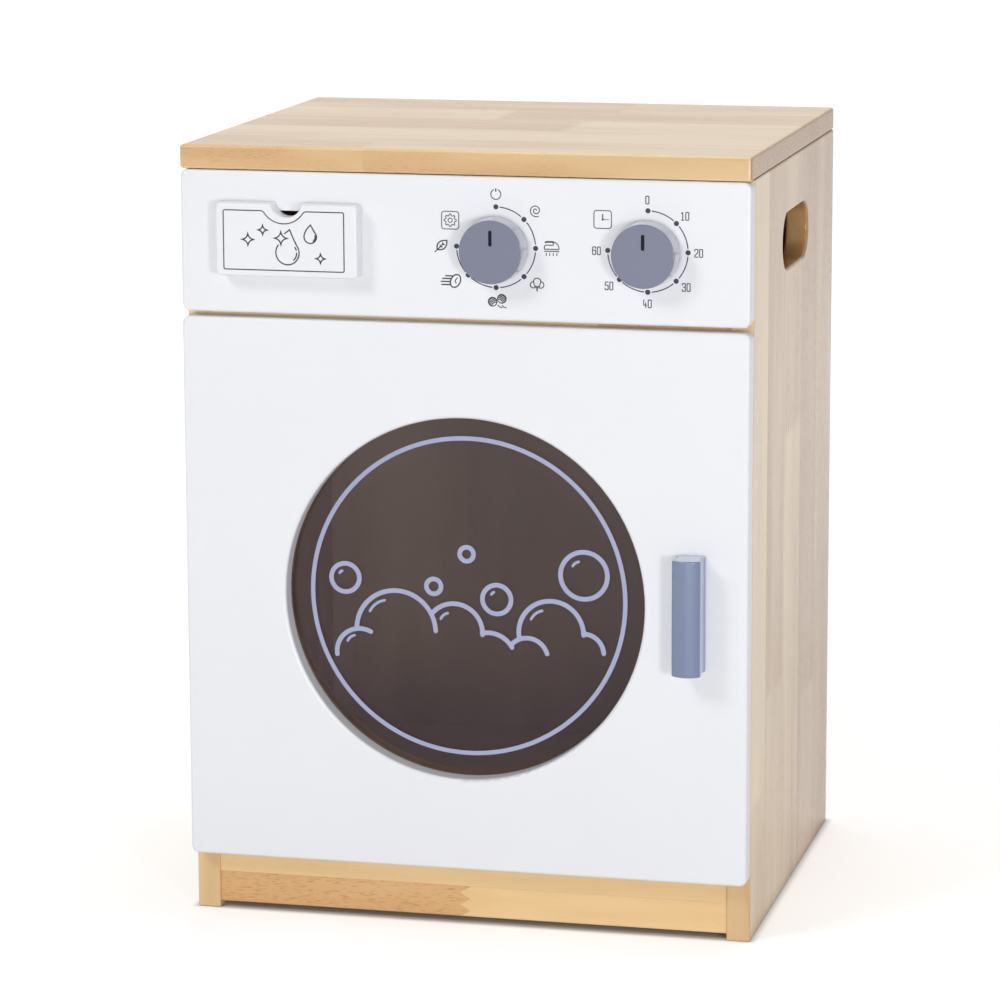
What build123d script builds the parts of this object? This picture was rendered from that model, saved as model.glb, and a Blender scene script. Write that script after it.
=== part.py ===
from build123d import *
import math
import os

# A wooden play washing machine: a cabinet of glued boards, a left-hung door with a round
# window, a detergent drawer and two knobs. Millimetres, +Z up, the front faces -Y.
# The origin is on the floor, under the middle of the whole object.

# ---------------------------------------------------------------- driving dimensions
# cabinet
cabinet_width = 365.0
cabinet_height = 500.0
cabinet_depth = 312.0
worktop_thickness = 15.0
side_thickness = 15.0
floor_thickness = 15.0
divider_thickness = 15.0
back_thickness = 5.0
back_inset = 20.0
groove_depth = 6.0
worktop_ease = 2.0
board_ease = 1.2

# plinth
plinth_thickness = 15.0
plinth_height = 40.0
plinth_clearance = 4.0
plinth_recess = 2.0

# hand holes in the side panels
hand_hole_length = 96.0
hand_hole_height = 36.0
hand_hole_drop = 53.0
hand_hole_ease = 2.0

# control panel
panel_thickness = 12.0
panel_height = 90.0
panel_head_gap = 0.5
front_corner_radius = 5.0
front_edge_ease = 2.0
cleat_width = 12.0
cleat_thickness = 15.0
cleat_end_gap = 0.5

# door
door_thickness = 12.0
door_bottom = 39.5
door_head_gap = 3.0
door_gap = 0.6

# window, whose ring stays clear of the handle's screws and of the door's ends
ring_handle_gap = 4.5
ring_end_margin = 38.0
window_lip = 2.0
pane_thickness = 3.0
pane_lap = 8.5
pane_clearance = 0.5
ring_width = 21.5
ring_thickness = 15.0
ring_ease = 1.5
ring_screw_count = 8

# handle
handle_width = 18.5
handle_length = 74.0
handle_side_depth = 17.0
handle_crown = 4.0
handle_inset = 36.0
handle_rise = 175.0
handle_cove_start = 2.0
handle_cove_length = 12.0
handle_cove_depth = 2.0
handle_cove_ease = 1.3
handle_back_radius = 1.3
handle_front_radius = 2.0
handle_end_radius = 1.2
handle_screw_spacing = 48.0

# hinges
hinge_length = 40.0
hinge_end_distance = 45.0
leaf_thickness = 1.0
leaf_reach = 12.0
barrel_radius = 2.0
barrel_proud = 1.0
hinge_pin_radius = 0.9
hinge_pin_head_radius = 1.6
hinge_pin_head_height = 0.6
knuckle_gap = 0.3
leaf_screw_spacing = 24.0
leaf_screw_length = 9.5
leaf_screw_inset = 5.0
leaf_corner_radius = 1.5

# magnet catches
magnet_radius = 4.0
magnet_thickness = 3.0
strike_radius = 5.0
strike_thickness = 1.2
catch_end_distance = 40.0

# detergent drawer
drawer_inset = 72.5
drawer_drop = 42.0
drawer_front_side_lap = 6.0
drawer_front_end_lap = 5.5
drawer_front_thickness = 12.0
drawer_front_corner = 2.5
drawer_edge_ease = 1.6
notch_radius = 10.0
notch_depth = 8.5
cutout_width = 80.0
cutout_height = 35.0
cutout_corner = 2.0
drawer_length = 95.0
drawer_wall = 6.0
drawer_bottom_thickness = 3.0
drawer_bottom_rise = 3.0
drawer_groove = 2.0
drawer_stop_rise = 8.0
drawer_pin_radius = 2.0
drawer_pin_length = 16.0
guide_base_thickness = 6.0
guide_rail_thickness = 5.0
guide_rail_height = 16.0
guide_tail = 27.0
guide_block_depth = 40.0

# knobs
knob_radius = 20.8
knob_taper = 3.5
knob_proud = 16.0
knob_edge = 0.6
knob_back_edge = 0.9
knob_spacing = 96.0
timer_inset = 64.5
knob_drop = 45.0
spindle_radius = 5.0
spindle_socket = 9.0
mark_width = 2.2
mark_inner_radius = 3.6
mark_outer_radius = 13.6
mark_depth = 0.8
mark_proud = 0.1
felt_radius = 13.0
felt_thickness = 1.0
disc_radius = 12.0
disc_thickness = 5.0
disc_screw_grip = 12.0

# dowels and screws
dowel_radius = 4.0
dowel_length = 28.0
dowel_depth_in_face = 9.5
dowel_end_room = 0.6
dowel_end_distance = 40.0
dowel_chamfer = 1.2
long_joint_dowel_count = 3
short_joint_dowel_count = 2
screw_radius = 1.75
screw_head_radius = 3.5
small_screw_radius = 1.25
small_screw_head_radius = 2.2
pan_screw_radius = 2.0
pan_head_radius = 4.0
pan_head_height = 2.6
screw_tip_length = 2.5
recess_width = 0.8
screw_bite_ratio = 2 / 3
cleat_front_screw_inset = 20.0
cleat_side_screw_inset = 10.0
back_screw_grip = 15.0
back_screw_count = 3
back_screw_inset = 41.0

# clearances
running_clearance = 0.06
fixed_clearance = 0.04
face_gap = 0.3
slide_gap = 0.5
cutout_gap = 1.0

# ---------------------------------------------------------------- places worked out
half_width = cabinet_width / 2
inner_half = half_width - side_thickness

handle_depth = handle_side_depth + handle_crown
front_reach = door_gap + door_thickness + handle_depth - panel_thickness
front_y = (front_reach - cabinet_depth) / 2
rear_y = front_y + cabinet_depth
carcass_front_y = front_y + panel_thickness
door_back_y = carcass_front_y - door_gap
door_front_y = door_back_y - door_thickness
back_front_y = rear_y - back_inset - back_thickness
back_rear_y = back_front_y + back_thickness
back_mid_y = (back_front_y + back_rear_y) / 2

worktop_underside = cabinet_height - worktop_thickness
panel_top = worktop_underside - panel_head_gap
panel_bottom = panel_top - panel_height
door_top = panel_bottom - door_head_gap
door_height = door_top - door_bottom
door_mid_z = (door_top + door_bottom) / 2
plinth_top = plinth_clearance + plinth_height
divider_mid_z = (panel_bottom + door_top) / 2
divider_top = divider_mid_z + divider_thickness / 2
divider_bottom = divider_mid_z - divider_thickness / 2

hinge_axis_x = -half_width - barrel_proud
hinge_axis_y = carcass_front_y - door_gap / 2
hinge_heights = {
    "upper": door_top - hinge_end_distance,
    "lower": door_bottom + hinge_end_distance,
}
catch_x = half_width - side_thickness / 2
catch_heights = (door_top - catch_end_distance, door_bottom + catch_end_distance)
catch_points = [(catch_x, z) for z in catch_heights]

handle_x = half_width - handle_inset
handle_mid_z = door_bottom + handle_rise
ring_radius = min(
    handle_x - pan_head_radius - ring_handle_gap,
    door_height / 2 - ring_end_margin,
)
window_radius = ring_radius - ring_width
pane_radius = window_radius + pane_lap
ring_screw_circle = (pane_radius + pane_clearance + ring_radius) / 2

drawer_x = -half_width + drawer_inset
drawer_mid_z = panel_top - drawer_drop
drawer_front_width = cutout_width + 2 * drawer_front_side_lap
drawer_front_height = cutout_height + 2 * drawer_front_end_lap
drawer_front_top = drawer_mid_z + drawer_front_height / 2
drawer_top = drawer_mid_z + cutout_height / 2 - cutout_gap
drawer_bottom_z = drawer_mid_z - cutout_height / 2 + cutout_gap
drawer_width = cutout_width - 2 * cutout_gap
drawer_inner_width = drawer_width - 2 * drawer_wall
drawer_front_back_y = front_y - face_gap
drawer_end_y = drawer_front_back_y + drawer_length
guide_top = drawer_bottom_z - face_gap
guide_half = drawer_width / 2 + slide_gap
guide_base_width = 2 * (guide_half + guide_rail_thickness)
guide_length = drawer_end_y + guide_tail - carcass_front_y
guide_mid_y = carcass_front_y + guide_length / 2
guide_base_bottom = guide_top - guide_base_thickness
guide_block_height = guide_base_bottom - divider_top

knob_z = panel_top - knob_drop
knob_back_y = front_y - felt_thickness - face_gap
knob_front_y = front_y - knob_proud
timer_x = half_width - timer_inset
knob_places = {"programme": timer_x - knob_spacing, "timer": timer_x}
knob_points = [(x, knob_z) for x in knob_places.values()]
disc_front_y = carcass_front_y + face_gap


def facing_front(y, x=0.0, z=0.0):
    """The upright plane at this depth that faces the front: its x runs right, its y up."""
    return Plane(origin=(x, y, z), x_dir=(1, 0, 0), z_dir=(0, -1, 0))


def facing_rear(y, x=0.0, z=0.0):
    """The upright plane at this depth that faces the rear: its x runs left, its y up."""
    return Plane(origin=(x, y, z), x_dir=(-1, 0, 0), z_dir=(0, 1, 0))


def keep(name, part):
    """Labels a finished piece and writes its STEP file."""
    part.label = name
    export_step(part, f"parts/{name}.step")


def spread(first, last, count):
    """Evenly spaced values from first to last, both included."""
    return [first + (last - first) * i / (count - 1) for i in range(count)]


def countersunk_screw(length, shank_radius, head_radius):
    """A screw with its flat head face at the origin and its point along -Z."""
    head_height = head_radius - shank_radius
    with BuildPart() as screw:
        with BuildSketch(Plane.XZ):
            with BuildLine():
                Polyline(
                    (0, 0),
                    (head_radius, 0),
                    (shank_radius, -head_height),
                    (shank_radius, -length + screw_tip_length),
                    (0, -length),
                    close=True,
                )
            make_face()
        revolve(axis=Axis.Z)
        with BuildSketch(Plane.XY):
            Rectangle(recess_width, head_radius)
            Rectangle(head_radius, recess_width)
        extrude(amount=-head_height, mode=Mode.SUBTRACT)
    return screw.part


def pan_screw(length, shank_radius, head_radius, head_height):
    """A screw whose domed head stands on the origin plane, its point along -Z."""
    with BuildPart() as screw:
        Cylinder(shank_radius, length, align=(Align.CENTER, Align.CENTER, Align.MAX))
        chamfer(screw.edges().sort_by(Axis.Z)[0], shank_radius / 3)
        Cylinder(head_radius, head_height, align=(Align.CENTER, Align.CENTER, Align.MIN))
        fillet(screw.edges().sort_by(Axis.Z)[-1], head_height / 2)
        with BuildSketch(Plane.XY.offset(head_height)):
            Rectangle(recess_width, head_radius)
            Rectangle(head_radius, recess_width)
        extrude(amount=-head_height / 2, mode=Mode.SUBTRACT)
    return screw.part


def sink(planes, shank_radius, head_radius, depth):
    """Countersunk screw holes that go in against each plane's normal, in the open part."""
    with Locations(*planes):
        CounterSinkHole(
            shank_radius + fixed_clearance,
            head_radius + fixed_clearance,
            depth=depth,
            counter_sink_angle=90,
        )


def placed(shape, planes):
    """Copies of one fastener, each on its own plane, as one group of separate solids."""
    with BuildPart() as group:
        with Locations(*planes):
            add(shape)
    return group.part


def drill(planes, radius, depth):
    """Blind round holes that go in against each plane's normal, in the open part."""
    with Locations(*planes):
        Hole(radius, depth)


os.makedirs("parts", exist_ok=True)

# ---------------------------------------------------------------- dowel places
# A dowel sits dowel_depth_in_face deep in a board's face, and the rest in the other's end.
dowel_depth_in_end = dowel_length - dowel_depth_in_face
dowel_hole_radius = dowel_radius + fixed_clearance
floor_mid_z = plinth_top + floor_thickness / 2
plinth_mid_y = carcass_front_y + plinth_recess + plinth_thickness / 2
first_dowel_y = carcass_front_y + dowel_end_distance
worktop_dowel_ys = spread(first_dowel_y, rear_y - dowel_end_distance, long_joint_dowel_count)
floor_dowel_ys = spread(first_dowel_y, back_front_y - dowel_end_distance, long_joint_dowel_count)
divider_dowel_ys = spread(first_dowel_y, back_front_y - dowel_end_distance, short_joint_dowel_count)
plinth_dowel_zs = (plinth_clearance + plinth_height / 4, plinth_top - plinth_height / 4)
floor_joints = [(y, floor_mid_z) for y in floor_dowel_ys]
divider_joints = [(y, divider_mid_z) for y in divider_dowel_ys]
plinth_joints = [(plinth_mid_y, z) for z in plinth_dowel_zs]


def joint_planes(side, joints, normal):
    """Planes at a side panel's inner face (side -1 left, +1 right), normals along x."""
    return [
        Plane(origin=(side * inner_half, y, z), x_dir=(0, 1, 0), z_dir=(normal, 0, 0))
        for y, z in joints
    ]


def end_planes(joints):
    """Planes on both ends of a board between the sides, normals outward."""
    return joint_planes(-1, joints, -1) + joint_planes(1, joints, 1)


def side_top_planes(side, normal):
    """Planes across the joint between a side panel's top and the worktop."""
    return [
        Plane(
            origin=(side * (half_width - side_thickness / 2), y, worktop_underside),
            x_dir=(1, 0, 0),
            z_dir=(0, 0, normal),
        )
        for y in worktop_dowel_ys
    ]


# a dowel that stands dowel_depth_in_face above its plane, and the rest below it
with BuildPart() as dowel:
    Cylinder(dowel_radius, dowel_length, align=(Align.CENTER, Align.CENTER, Align.MAX))
    chamfer(dowel.edges(), dowel_chamfer)
dowel_shape = dowel.part.moved(Location((0, 0, dowel_depth_in_face)))

# ---------------------------------------------------------------- worktop
with BuildPart() as worktop:
    with BuildSketch(Plane.XY.offset(worktop_underside)):
        with Locations((0, (front_y + rear_y) / 2)):
            Rectangle(cabinet_width, cabinet_depth)
    extrude(amount=worktop_thickness)
    fillet(worktop.edges(), worktop_ease)
    drill(
        side_top_planes(-1, -1) + side_top_planes(1, -1),
        dowel_hole_radius,
        dowel_depth_in_face + dowel_end_room,
    )
keep("worktop", worktop.part)

# ---------------------------------------------------------------- hinge leaves
# The barrel stands just outside the cabinet's left edge, in the gap between the boards, so
# the door can fold right round until its own front corner meets the side panel.
knuckle_length = (hinge_length - 2 * knuckle_gap) / 3
leaf_root_x = hinge_axis_x + barrel_radius + face_gap
leaf_tip_x = -half_width + leaf_reach
leaf_mid_x = (leaf_root_x + leaf_tip_x) / 2
leaf_screw_x = leaf_tip_x - leaf_screw_inset


def hinge_leaf(mid_z, face_y, into, knuckle_offsets):
    """One leaf: its plate lies in the board behind face_y, towards into (-1 front, 1 rear)."""
    plate_mid_y = face_y + into * leaf_thickness / 2
    with BuildPart() as leaf:
        with Locations((leaf_mid_x, plate_mid_y, mid_z)):
            Box(leaf_tip_x - leaf_root_x, leaf_thickness, hinge_length)
        fillet(leaf.edges().filter_by(Axis.Y).group_by(Axis.X)[-1], leaf_corner_radius)
        for offset in knuckle_offsets:
            with Locations(((hinge_axis_x + leaf_root_x) / 2, plate_mid_y, mid_z + offset)):
                Box(leaf_root_x - hinge_axis_x, leaf_thickness, knuckle_length)
            with Locations((hinge_axis_x, hinge_axis_y, mid_z + offset)):
                Cylinder(barrel_radius, knuckle_length)
        with Locations((hinge_axis_x, hinge_axis_y, mid_z)):
            Cylinder(hinge_pin_radius + running_clearance, hinge_length, mode=Mode.SUBTRACT)
        screw_planes = leaf_screw_planes(mid_z, face_y, into)
        sink(screw_planes, small_screw_radius, small_screw_head_radius, leaf_thickness)
    return leaf.part


def leaf_screw_planes(mid_z, face_y, into):
    """The two screw places of a leaf, on the face that shows when the door is open."""
    facing_out = facing_rear if into < 0 else facing_front
    return [
        facing_out(face_y, leaf_screw_x, mid_z + offset)
        for offset in (-leaf_screw_spacing / 2, leaf_screw_spacing / 2)
    ]


def leaf_seat(mid_z, face_y, into):
    """Cuts the leaf's seat, the barrel's pocket and the screw holes into the open board."""
    seat_left_x = -half_width - leaf_reach
    seat_right_x = leaf_tip_x + fixed_clearance
    with Locations(((seat_left_x + seat_right_x) / 2, face_y, mid_z)):
        Box(
            seat_right_x - seat_left_x,
            2 * (leaf_thickness + fixed_clearance),
            hinge_length + 2 * face_gap,
            mode=Mode.SUBTRACT,
        )
    with Locations((hinge_axis_x, hinge_axis_y, mid_z)):
        Cylinder(
            barrel_radius + face_gap,
            hinge_length + 2 * (hinge_pin_head_height + face_gap),
            mode=Mode.SUBTRACT,
        )
    screw_planes = leaf_screw_planes(mid_z, face_y, into)
    depth = leaf_screw_length + face_gap
    sink(screw_planes, small_screw_radius, small_screw_head_radius, depth)


outer_knuckles = (-(knuckle_length + knuckle_gap), knuckle_length + knuckle_gap)
for hinge_name, hinge_z in hinge_heights.items():
    cabinet_leaf = hinge_leaf(hinge_z, carcass_front_y, 1, outer_knuckles)
    keep(f"hinge_{hinge_name}_cabinet_leaf", cabinet_leaf)
    door_leaf = hinge_leaf(hinge_z, door_back_y, -1, (0,))
    keep(f"hinge_{hinge_name}_door_leaf", door_leaf)

with BuildPart() as hinge_pins:
    for hinge_z in hinge_heights.values():
        with Locations((hinge_axis_x, hinge_axis_y, hinge_z)):
            Cylinder(hinge_pin_radius, hinge_length + 2 * fixed_clearance)
        for end in (-1, 1):
            head_z = hinge_z + end * (hinge_length / 2 + hinge_pin_head_height / 2)
            with Locations((hinge_axis_x, hinge_axis_y, head_z)):
                Cylinder(hinge_pin_head_radius, hinge_pin_head_height)
keep("hinge_pins", hinge_pins.part)

leaf_screw = countersunk_screw(leaf_screw_length, small_screw_radius, small_screw_head_radius)
cabinet_leaf_screw_planes = []
door_leaf_screw_planes = []
for hinge_z in hinge_heights.values():
    cabinet_leaf_screw_planes += leaf_screw_planes(hinge_z, carcass_front_y, 1)
    door_leaf_screw_planes += leaf_screw_planes(hinge_z, door_back_y, -1)
keep("hinge_cabinet_screws", placed(leaf_screw, cabinet_leaf_screw_planes))
keep("hinge_door_screws", placed(leaf_screw, door_leaf_screw_planes))

# ---------------------------------------------------------------- cleats behind the panel
cleat_mid_x = inner_half - cleat_width / 2
cleat_bottom = divider_top
cleat_top = worktop_underside - cleat_end_gap
cleat_rear_y = carcass_front_y + cleat_thickness
cleat_front_screw_zs = (cleat_bottom + cleat_front_screw_inset, cleat_top - cleat_front_screw_inset)
cleat_side_screw_zs = (cleat_bottom + cleat_side_screw_inset, cleat_top - cleat_side_screw_inset)
cleat_front_screw_length = cleat_thickness + screw_bite_ratio * panel_thickness
cleat_side_screw_length = cleat_width + screw_bite_ratio * side_thickness
cleat_mid_y = carcass_front_y + cleat_thickness / 2


def cleat_front_planes(side):
    """Screw places on a cleat's rear face, for the screws into the control panel."""
    return [facing_rear(cleat_rear_y, side * cleat_mid_x, z) for z in cleat_front_screw_zs]


def cleat_side_planes(side):
    """Screw places on a cleat's inner face, for the screws into the side panel."""
    x = side * (inner_half - cleat_width)
    return [
        Plane(origin=(x, cleat_mid_y, z), x_dir=(0, 1, 0), z_dir=(-side, 0, 0))
        for z in cleat_side_screw_zs
    ]


def panel_cleat(side):
    """The upright batten in the corner between a side panel and the control panel."""
    with BuildPart() as cleat:
        with Locations((side * cleat_mid_x, cleat_mid_y, (cleat_bottom + cleat_top) / 2)):
            Box(cleat_width, cleat_thickness, cleat_top - cleat_bottom)
        sink(cleat_front_planes(side), screw_radius, screw_head_radius, cleat_thickness)
        sink(cleat_side_planes(side), screw_radius, screw_head_radius, cleat_width)
    return cleat.part


keep("panel_cleat_left", panel_cleat(-1))
keep("panel_cleat_right", panel_cleat(1))
front_screw = countersunk_screw(cleat_front_screw_length, screw_radius, screw_head_radius)
side_screw = countersunk_screw(cleat_side_screw_length, screw_radius, screw_head_radius)
keep("cleat_front_screws", placed(front_screw, cleat_front_planes(-1) + cleat_front_planes(1)))
keep("cleat_side_screws", placed(side_screw, cleat_side_planes(-1) + cleat_side_planes(1)))

# ---------------------------------------------------------------- side panels
catch_planes = [facing_front(carcass_front_y, catch_x, z) for z in catch_heights]
side_mid_y = (carcass_front_y + rear_y) / 2
side_mid_z = worktop_underside / 2
hand_hole_z = worktop_underside - hand_hole_drop


def side_panel(side):
    """A side board down to the floor, with its hand hole and the groove for the back."""
    outer_face = Plane(origin=(side * half_width, 0, 0), x_dir=(0, 1, 0), z_dir=(1, 0, 0))
    with BuildPart() as panel:
        with Locations((side * (half_width - side_thickness / 2), side_mid_y, side_mid_z)):
            Box(side_thickness, rear_y - carcass_front_y, worktop_underside)
        fillet(panel.edges(), board_ease)
        with BuildSketch(outer_face):
            with Locations((side_mid_y, hand_hole_z)):
                SlotOverall(hand_hole_length, hand_hole_height)
        extrude(amount=-side * side_thickness, mode=Mode.SUBTRACT)
        broad_faces = panel.faces().filter_by(Axis.X).sort_by(Axis.X)
        rims = [wire for face in (broad_faces[0], broad_faces[-1]) for wire in face.inner_wires()]
        fillet([edge for rim in rims for edge in rim.edges()], hand_hole_ease)
        drill(
            joint_planes(side, floor_joints + divider_joints + plinth_joints, -side),
            dowel_hole_radius,
            dowel_depth_in_face + dowel_end_room,
        )
        drill(side_top_planes(side, 1), dowel_hole_radius, dowel_depth_in_end + dowel_end_room)
        groove_x = side * (inner_half + groove_depth / 2)
        groove_foot_z = plinth_top - fixed_clearance
        with Locations((groove_x, back_mid_y, (groove_foot_z + worktop_underside) / 2)):
            Box(
                groove_depth,
                back_thickness + 2 * fixed_clearance,
                worktop_underside - groove_foot_z,
                mode=Mode.SUBTRACT,
            )
        drill(
            [plane.offset(-cleat_width) for plane in cleat_side_planes(side)],
            screw_radius + fixed_clearance,
            cleat_side_screw_length - cleat_width + face_gap,
        )
        if side < 0:
            for hinge_z in hinge_heights.values():
                leaf_seat(hinge_z, carcass_front_y, 1)
        else:
            drill(catch_planes, magnet_radius + fixed_clearance, magnet_thickness + fixed_clearance)
    return panel.part


keep("side_panel_left", side_panel(-1))
keep("side_panel_right", side_panel(1))

# ---------------------------------------------------------------- boards between the sides
back_screw_length = back_thickness + back_screw_grip
back_hole_radius = small_screw_radius + fixed_clearance
back_hole_depth = back_screw_length - back_thickness + face_gap
block_screw_length = divider_thickness + screw_bite_ratio * guide_block_height
block_screw_planes = [
    Plane(origin=(drawer_x, guide_mid_y + dy, divider_bottom), x_dir=(1, 0, 0), z_dir=(0, 0, -1))
    for dy in (-guide_block_depth / 4, guide_block_depth / 4)
]


def back_screw_planes(z, y):
    """Screw places in a row across the back, at this height and depth, normals rearward."""
    row_end = inner_half - back_screw_inset
    return [facing_rear(y, x, z) for x in spread(-row_end, row_end, back_screw_count)]


with BuildPart() as floor_board:
    with Locations((0, (carcass_front_y + back_front_y) / 2, floor_mid_z)):
        Box(2 * inner_half, back_front_y - carcass_front_y, floor_thickness)
    drill(end_planes(floor_joints), dowel_hole_radius, dowel_depth_in_end + dowel_end_room)
    drill(back_screw_planes(floor_mid_z, back_front_y), back_hole_radius, back_hole_depth)
keep("floor_board", floor_board.part)

with BuildPart() as plinth:
    with Locations((0, plinth_mid_y, (plinth_clearance + plinth_top) / 2)):
        Box(2 * inner_half, plinth_thickness, plinth_height)
    fillet(plinth.edges().filter_by(Axis.X).group_by(Axis.Z)[0], board_ease)
    drill(end_planes(plinth_joints), dowel_hole_radius, dowel_depth_in_end + dowel_end_room)
keep("plinth", plinth.part)

with BuildPart() as divider_shelf:
    with Locations((0, (carcass_front_y + back_front_y) / 2, divider_mid_z)):
        Box(2 * inner_half, back_front_y - carcass_front_y, divider_thickness)
    drill(end_planes(divider_joints), dowel_hole_radius, dowel_depth_in_end + dowel_end_room)
    drill(back_screw_planes(divider_mid_z, back_front_y), back_hole_radius, back_hole_depth)
    sink(block_screw_planes, screw_radius, screw_head_radius, divider_thickness)
keep("divider_shelf", divider_shelf.part)

with BuildPart() as back_panel:
    with Locations((0, back_mid_y, (plinth_top + worktop_underside) / 2)):
        Box(
            2 * (inner_half + groove_depth - slide_gap),
            back_thickness,
            worktop_underside - plinth_top,
        )
    back_screw_heads = [
        *back_screw_planes(floor_mid_z, back_rear_y),
        *back_screw_planes(divider_mid_z, back_rear_y),
    ]
    sink(back_screw_heads, small_screw_radius, small_screw_head_radius, back_thickness)
keep("back_panel", back_panel.part)
back_screw = countersunk_screw(back_screw_length, small_screw_radius, small_screw_head_radius)
keep("back_panel_screws", placed(back_screw, back_screw_heads))

keep("worktop_dowels", placed(dowel_shape, side_top_planes(-1, 1) + side_top_planes(1, 1)))
keep("floor_dowels", placed(dowel_shape, end_planes(floor_joints)))
keep("divider_dowels", placed(dowel_shape, end_planes(divider_joints)))
keep("plinth_dowels", placed(dowel_shape, end_planes(plinth_joints)))

# ---------------------------------------------------------------- control panel
with BuildPart() as control_panel:
    with BuildSketch(facing_front(carcass_front_y)):
        with Locations((0, (panel_top + panel_bottom) / 2)):
            RectangleRounded(cabinet_width, panel_height, front_corner_radius)
    extrude(amount=panel_thickness)
    fillet(control_panel.faces().sort_by(Axis.Y)[0].edges(), front_edge_ease)
    with BuildSketch(facing_front(carcass_front_y)):
        with Locations((drawer_x, drawer_mid_z)):
            RectangleRounded(cutout_width, cutout_height, cutout_corner)
        with Locations(*knob_points):
            Circle(spindle_radius + running_clearance)
    extrude(amount=panel_thickness, mode=Mode.SUBTRACT)
    cleat_planes = cleat_front_planes(-1) + cleat_front_planes(1)
    drill(
        [plane.offset(-cleat_thickness) for plane in cleat_planes],
        screw_radius + fixed_clearance,
        cleat_front_screw_length - cleat_thickness + face_gap,
    )
keep("control_panel", control_panel.part)

# ---------------------------------------------------------------- door
ring_front_y = door_back_y
ring_rear_y = ring_front_y + ring_thickness
ring_screw_length = ring_thickness + screw_bite_ratio * door_thickness
ring_screw_angles = [math.tau * (i + 0.5) / ring_screw_count for i in range(ring_screw_count)]
ring_screw_planes = [
    facing_rear(
        ring_rear_y,
        ring_screw_circle * math.cos(angle),
        door_mid_z + ring_screw_circle * math.sin(angle),
    )
    for angle in ring_screw_angles
]
handle_screw_zs = (
    handle_mid_z - handle_screw_spacing / 2,
    handle_mid_z + handle_screw_spacing / 2,
)
handle_screw_planes = [facing_rear(door_back_y, handle_x, z) for z in handle_screw_zs]
handle_screw_length = door_thickness + screw_bite_ratio * handle_side_depth
strike_planes = [facing_rear(door_back_y, catch_x, z) for z in catch_heights]
strike_screw_length = screw_bite_ratio * door_thickness

with BuildPart() as door_board:
    with BuildSketch(facing_front(door_back_y)):
        with Locations((0, door_mid_z)):
            RectangleRounded(cabinet_width, door_height, front_corner_radius)
    extrude(amount=door_thickness)
    fillet(door_board.faces().sort_by(Axis.Y)[0].edges(), front_edge_ease)
    with BuildSketch(facing_front(door_back_y)):
        with Locations((0, door_mid_z)):
            Circle(window_radius)
    extrude(amount=door_thickness, mode=Mode.SUBTRACT)
    window_rim = door_board.faces().sort_by(Axis.Y)[0].inner_wires()[0].edges()
    fillet(window_rim, window_lip)
    drill(
        [plane.offset(-ring_thickness) for plane in ring_screw_planes],
        screw_radius + fixed_clearance,
        ring_screw_length - ring_thickness + face_gap,
    )
    drill(handle_screw_planes, pan_screw_radius + fixed_clearance, door_thickness)
    drill(strike_planes, strike_radius + fixed_clearance, strike_thickness)
    strike_hole_depth = strike_screw_length + face_gap
    sink(strike_planes, small_screw_radius, small_screw_head_radius, strike_hole_depth)
    for hinge_z in hinge_heights.values():
        leaf_seat(hinge_z, door_back_y, -1)
keep("door_board", door_board.part)

with BuildPart() as window_pane:
    with BuildSketch(facing_front(ring_front_y + pane_thickness)):
        with Locations((0, door_mid_z)):
            Circle(pane_radius)
    extrude(amount=pane_thickness)
keep("window_pane", window_pane.part)

with BuildPart() as window_ring:
    with BuildSketch(facing_front(ring_rear_y)):
        with Locations((0, door_mid_z)):
            Circle(ring_radius)
            Circle(window_radius, mode=Mode.SUBTRACT)
    extrude(amount=ring_thickness)
    fillet(window_ring.faces().sort_by(Axis.Y)[-1].edges(), ring_ease)
    with BuildSketch(facing_front(ring_front_y + pane_thickness + fixed_clearance)):
        with Locations((0, door_mid_z)):
            Circle(pane_radius + pane_clearance)
    extrude(amount=pane_thickness + fixed_clearance, mode=Mode.SUBTRACT)
    sink(ring_screw_planes, screw_radius, screw_head_radius, ring_thickness)
keep("window_ring", window_ring.part)
ring_screw = countersunk_screw(ring_screw_length, screw_radius, screw_head_radius)
keep("window_ring_screws", placed(ring_screw, ring_screw_planes))

with BuildPart() as handle:
    with BuildSketch(Plane.XY.offset(handle_mid_z - handle_length / 2)):
        with BuildLine():
            shoulder_y = door_front_y - handle_side_depth
            cove_back_y = door_front_y - handle_cove_start
            cove_front_y = cove_back_y - handle_cove_length
            cove_mid_y = (cove_back_y + cove_front_y) / 2
            for side in (-1, 1):
                side_x = handle_x + side * handle_width / 2
                cove_mid = (side_x - side * handle_cove_depth, cove_mid_y)
                Line((handle_x, door_front_y), (side_x, door_front_y))
                Line((side_x, door_front_y), (side_x, cove_back_y))
                ThreePointArc((side_x, cove_back_y), cove_mid, (side_x, cove_front_y))
                Line((side_x, cove_front_y), (side_x, shoulder_y))
            ThreePointArc(
                (handle_x - handle_width / 2, shoulder_y),
                (handle_x, door_front_y - handle_depth),
                (handle_x + handle_width / 2, shoulder_y),
            )
        make_face()
    extrude(amount=handle_length)
    uprights = handle.edges().filter_by(Axis.Z).group_by(Axis.Y)
    cove_edges = [edge for group in uprights[1:3] for edge in group]
    fillet(cove_edges, handle_cove_ease)
    fillet(handle.edges().filter_by(Axis.Z).group_by(Axis.Y)[-1], handle_back_radius)
    fillet(handle.edges().filter_by(Axis.Z).group_by(Axis.Y)[0], handle_front_radius)
    fillet(handle.faces().sort_by(Axis.Z)[-1].edges(), handle_end_radius)
    fillet(handle.faces().sort_by(Axis.Z)[0].edges(), handle_end_radius)
    drill(
        [plane.offset(-door_thickness) for plane in handle_screw_planes],
        pan_screw_radius + fixed_clearance,
        handle_screw_length - door_thickness + face_gap,
    )
keep("handle", handle.part)
handle_screw = pan_screw(handle_screw_length, pan_screw_radius, pan_head_radius, pan_head_height)
keep("handle_screws", placed(handle_screw, handle_screw_planes))

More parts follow.
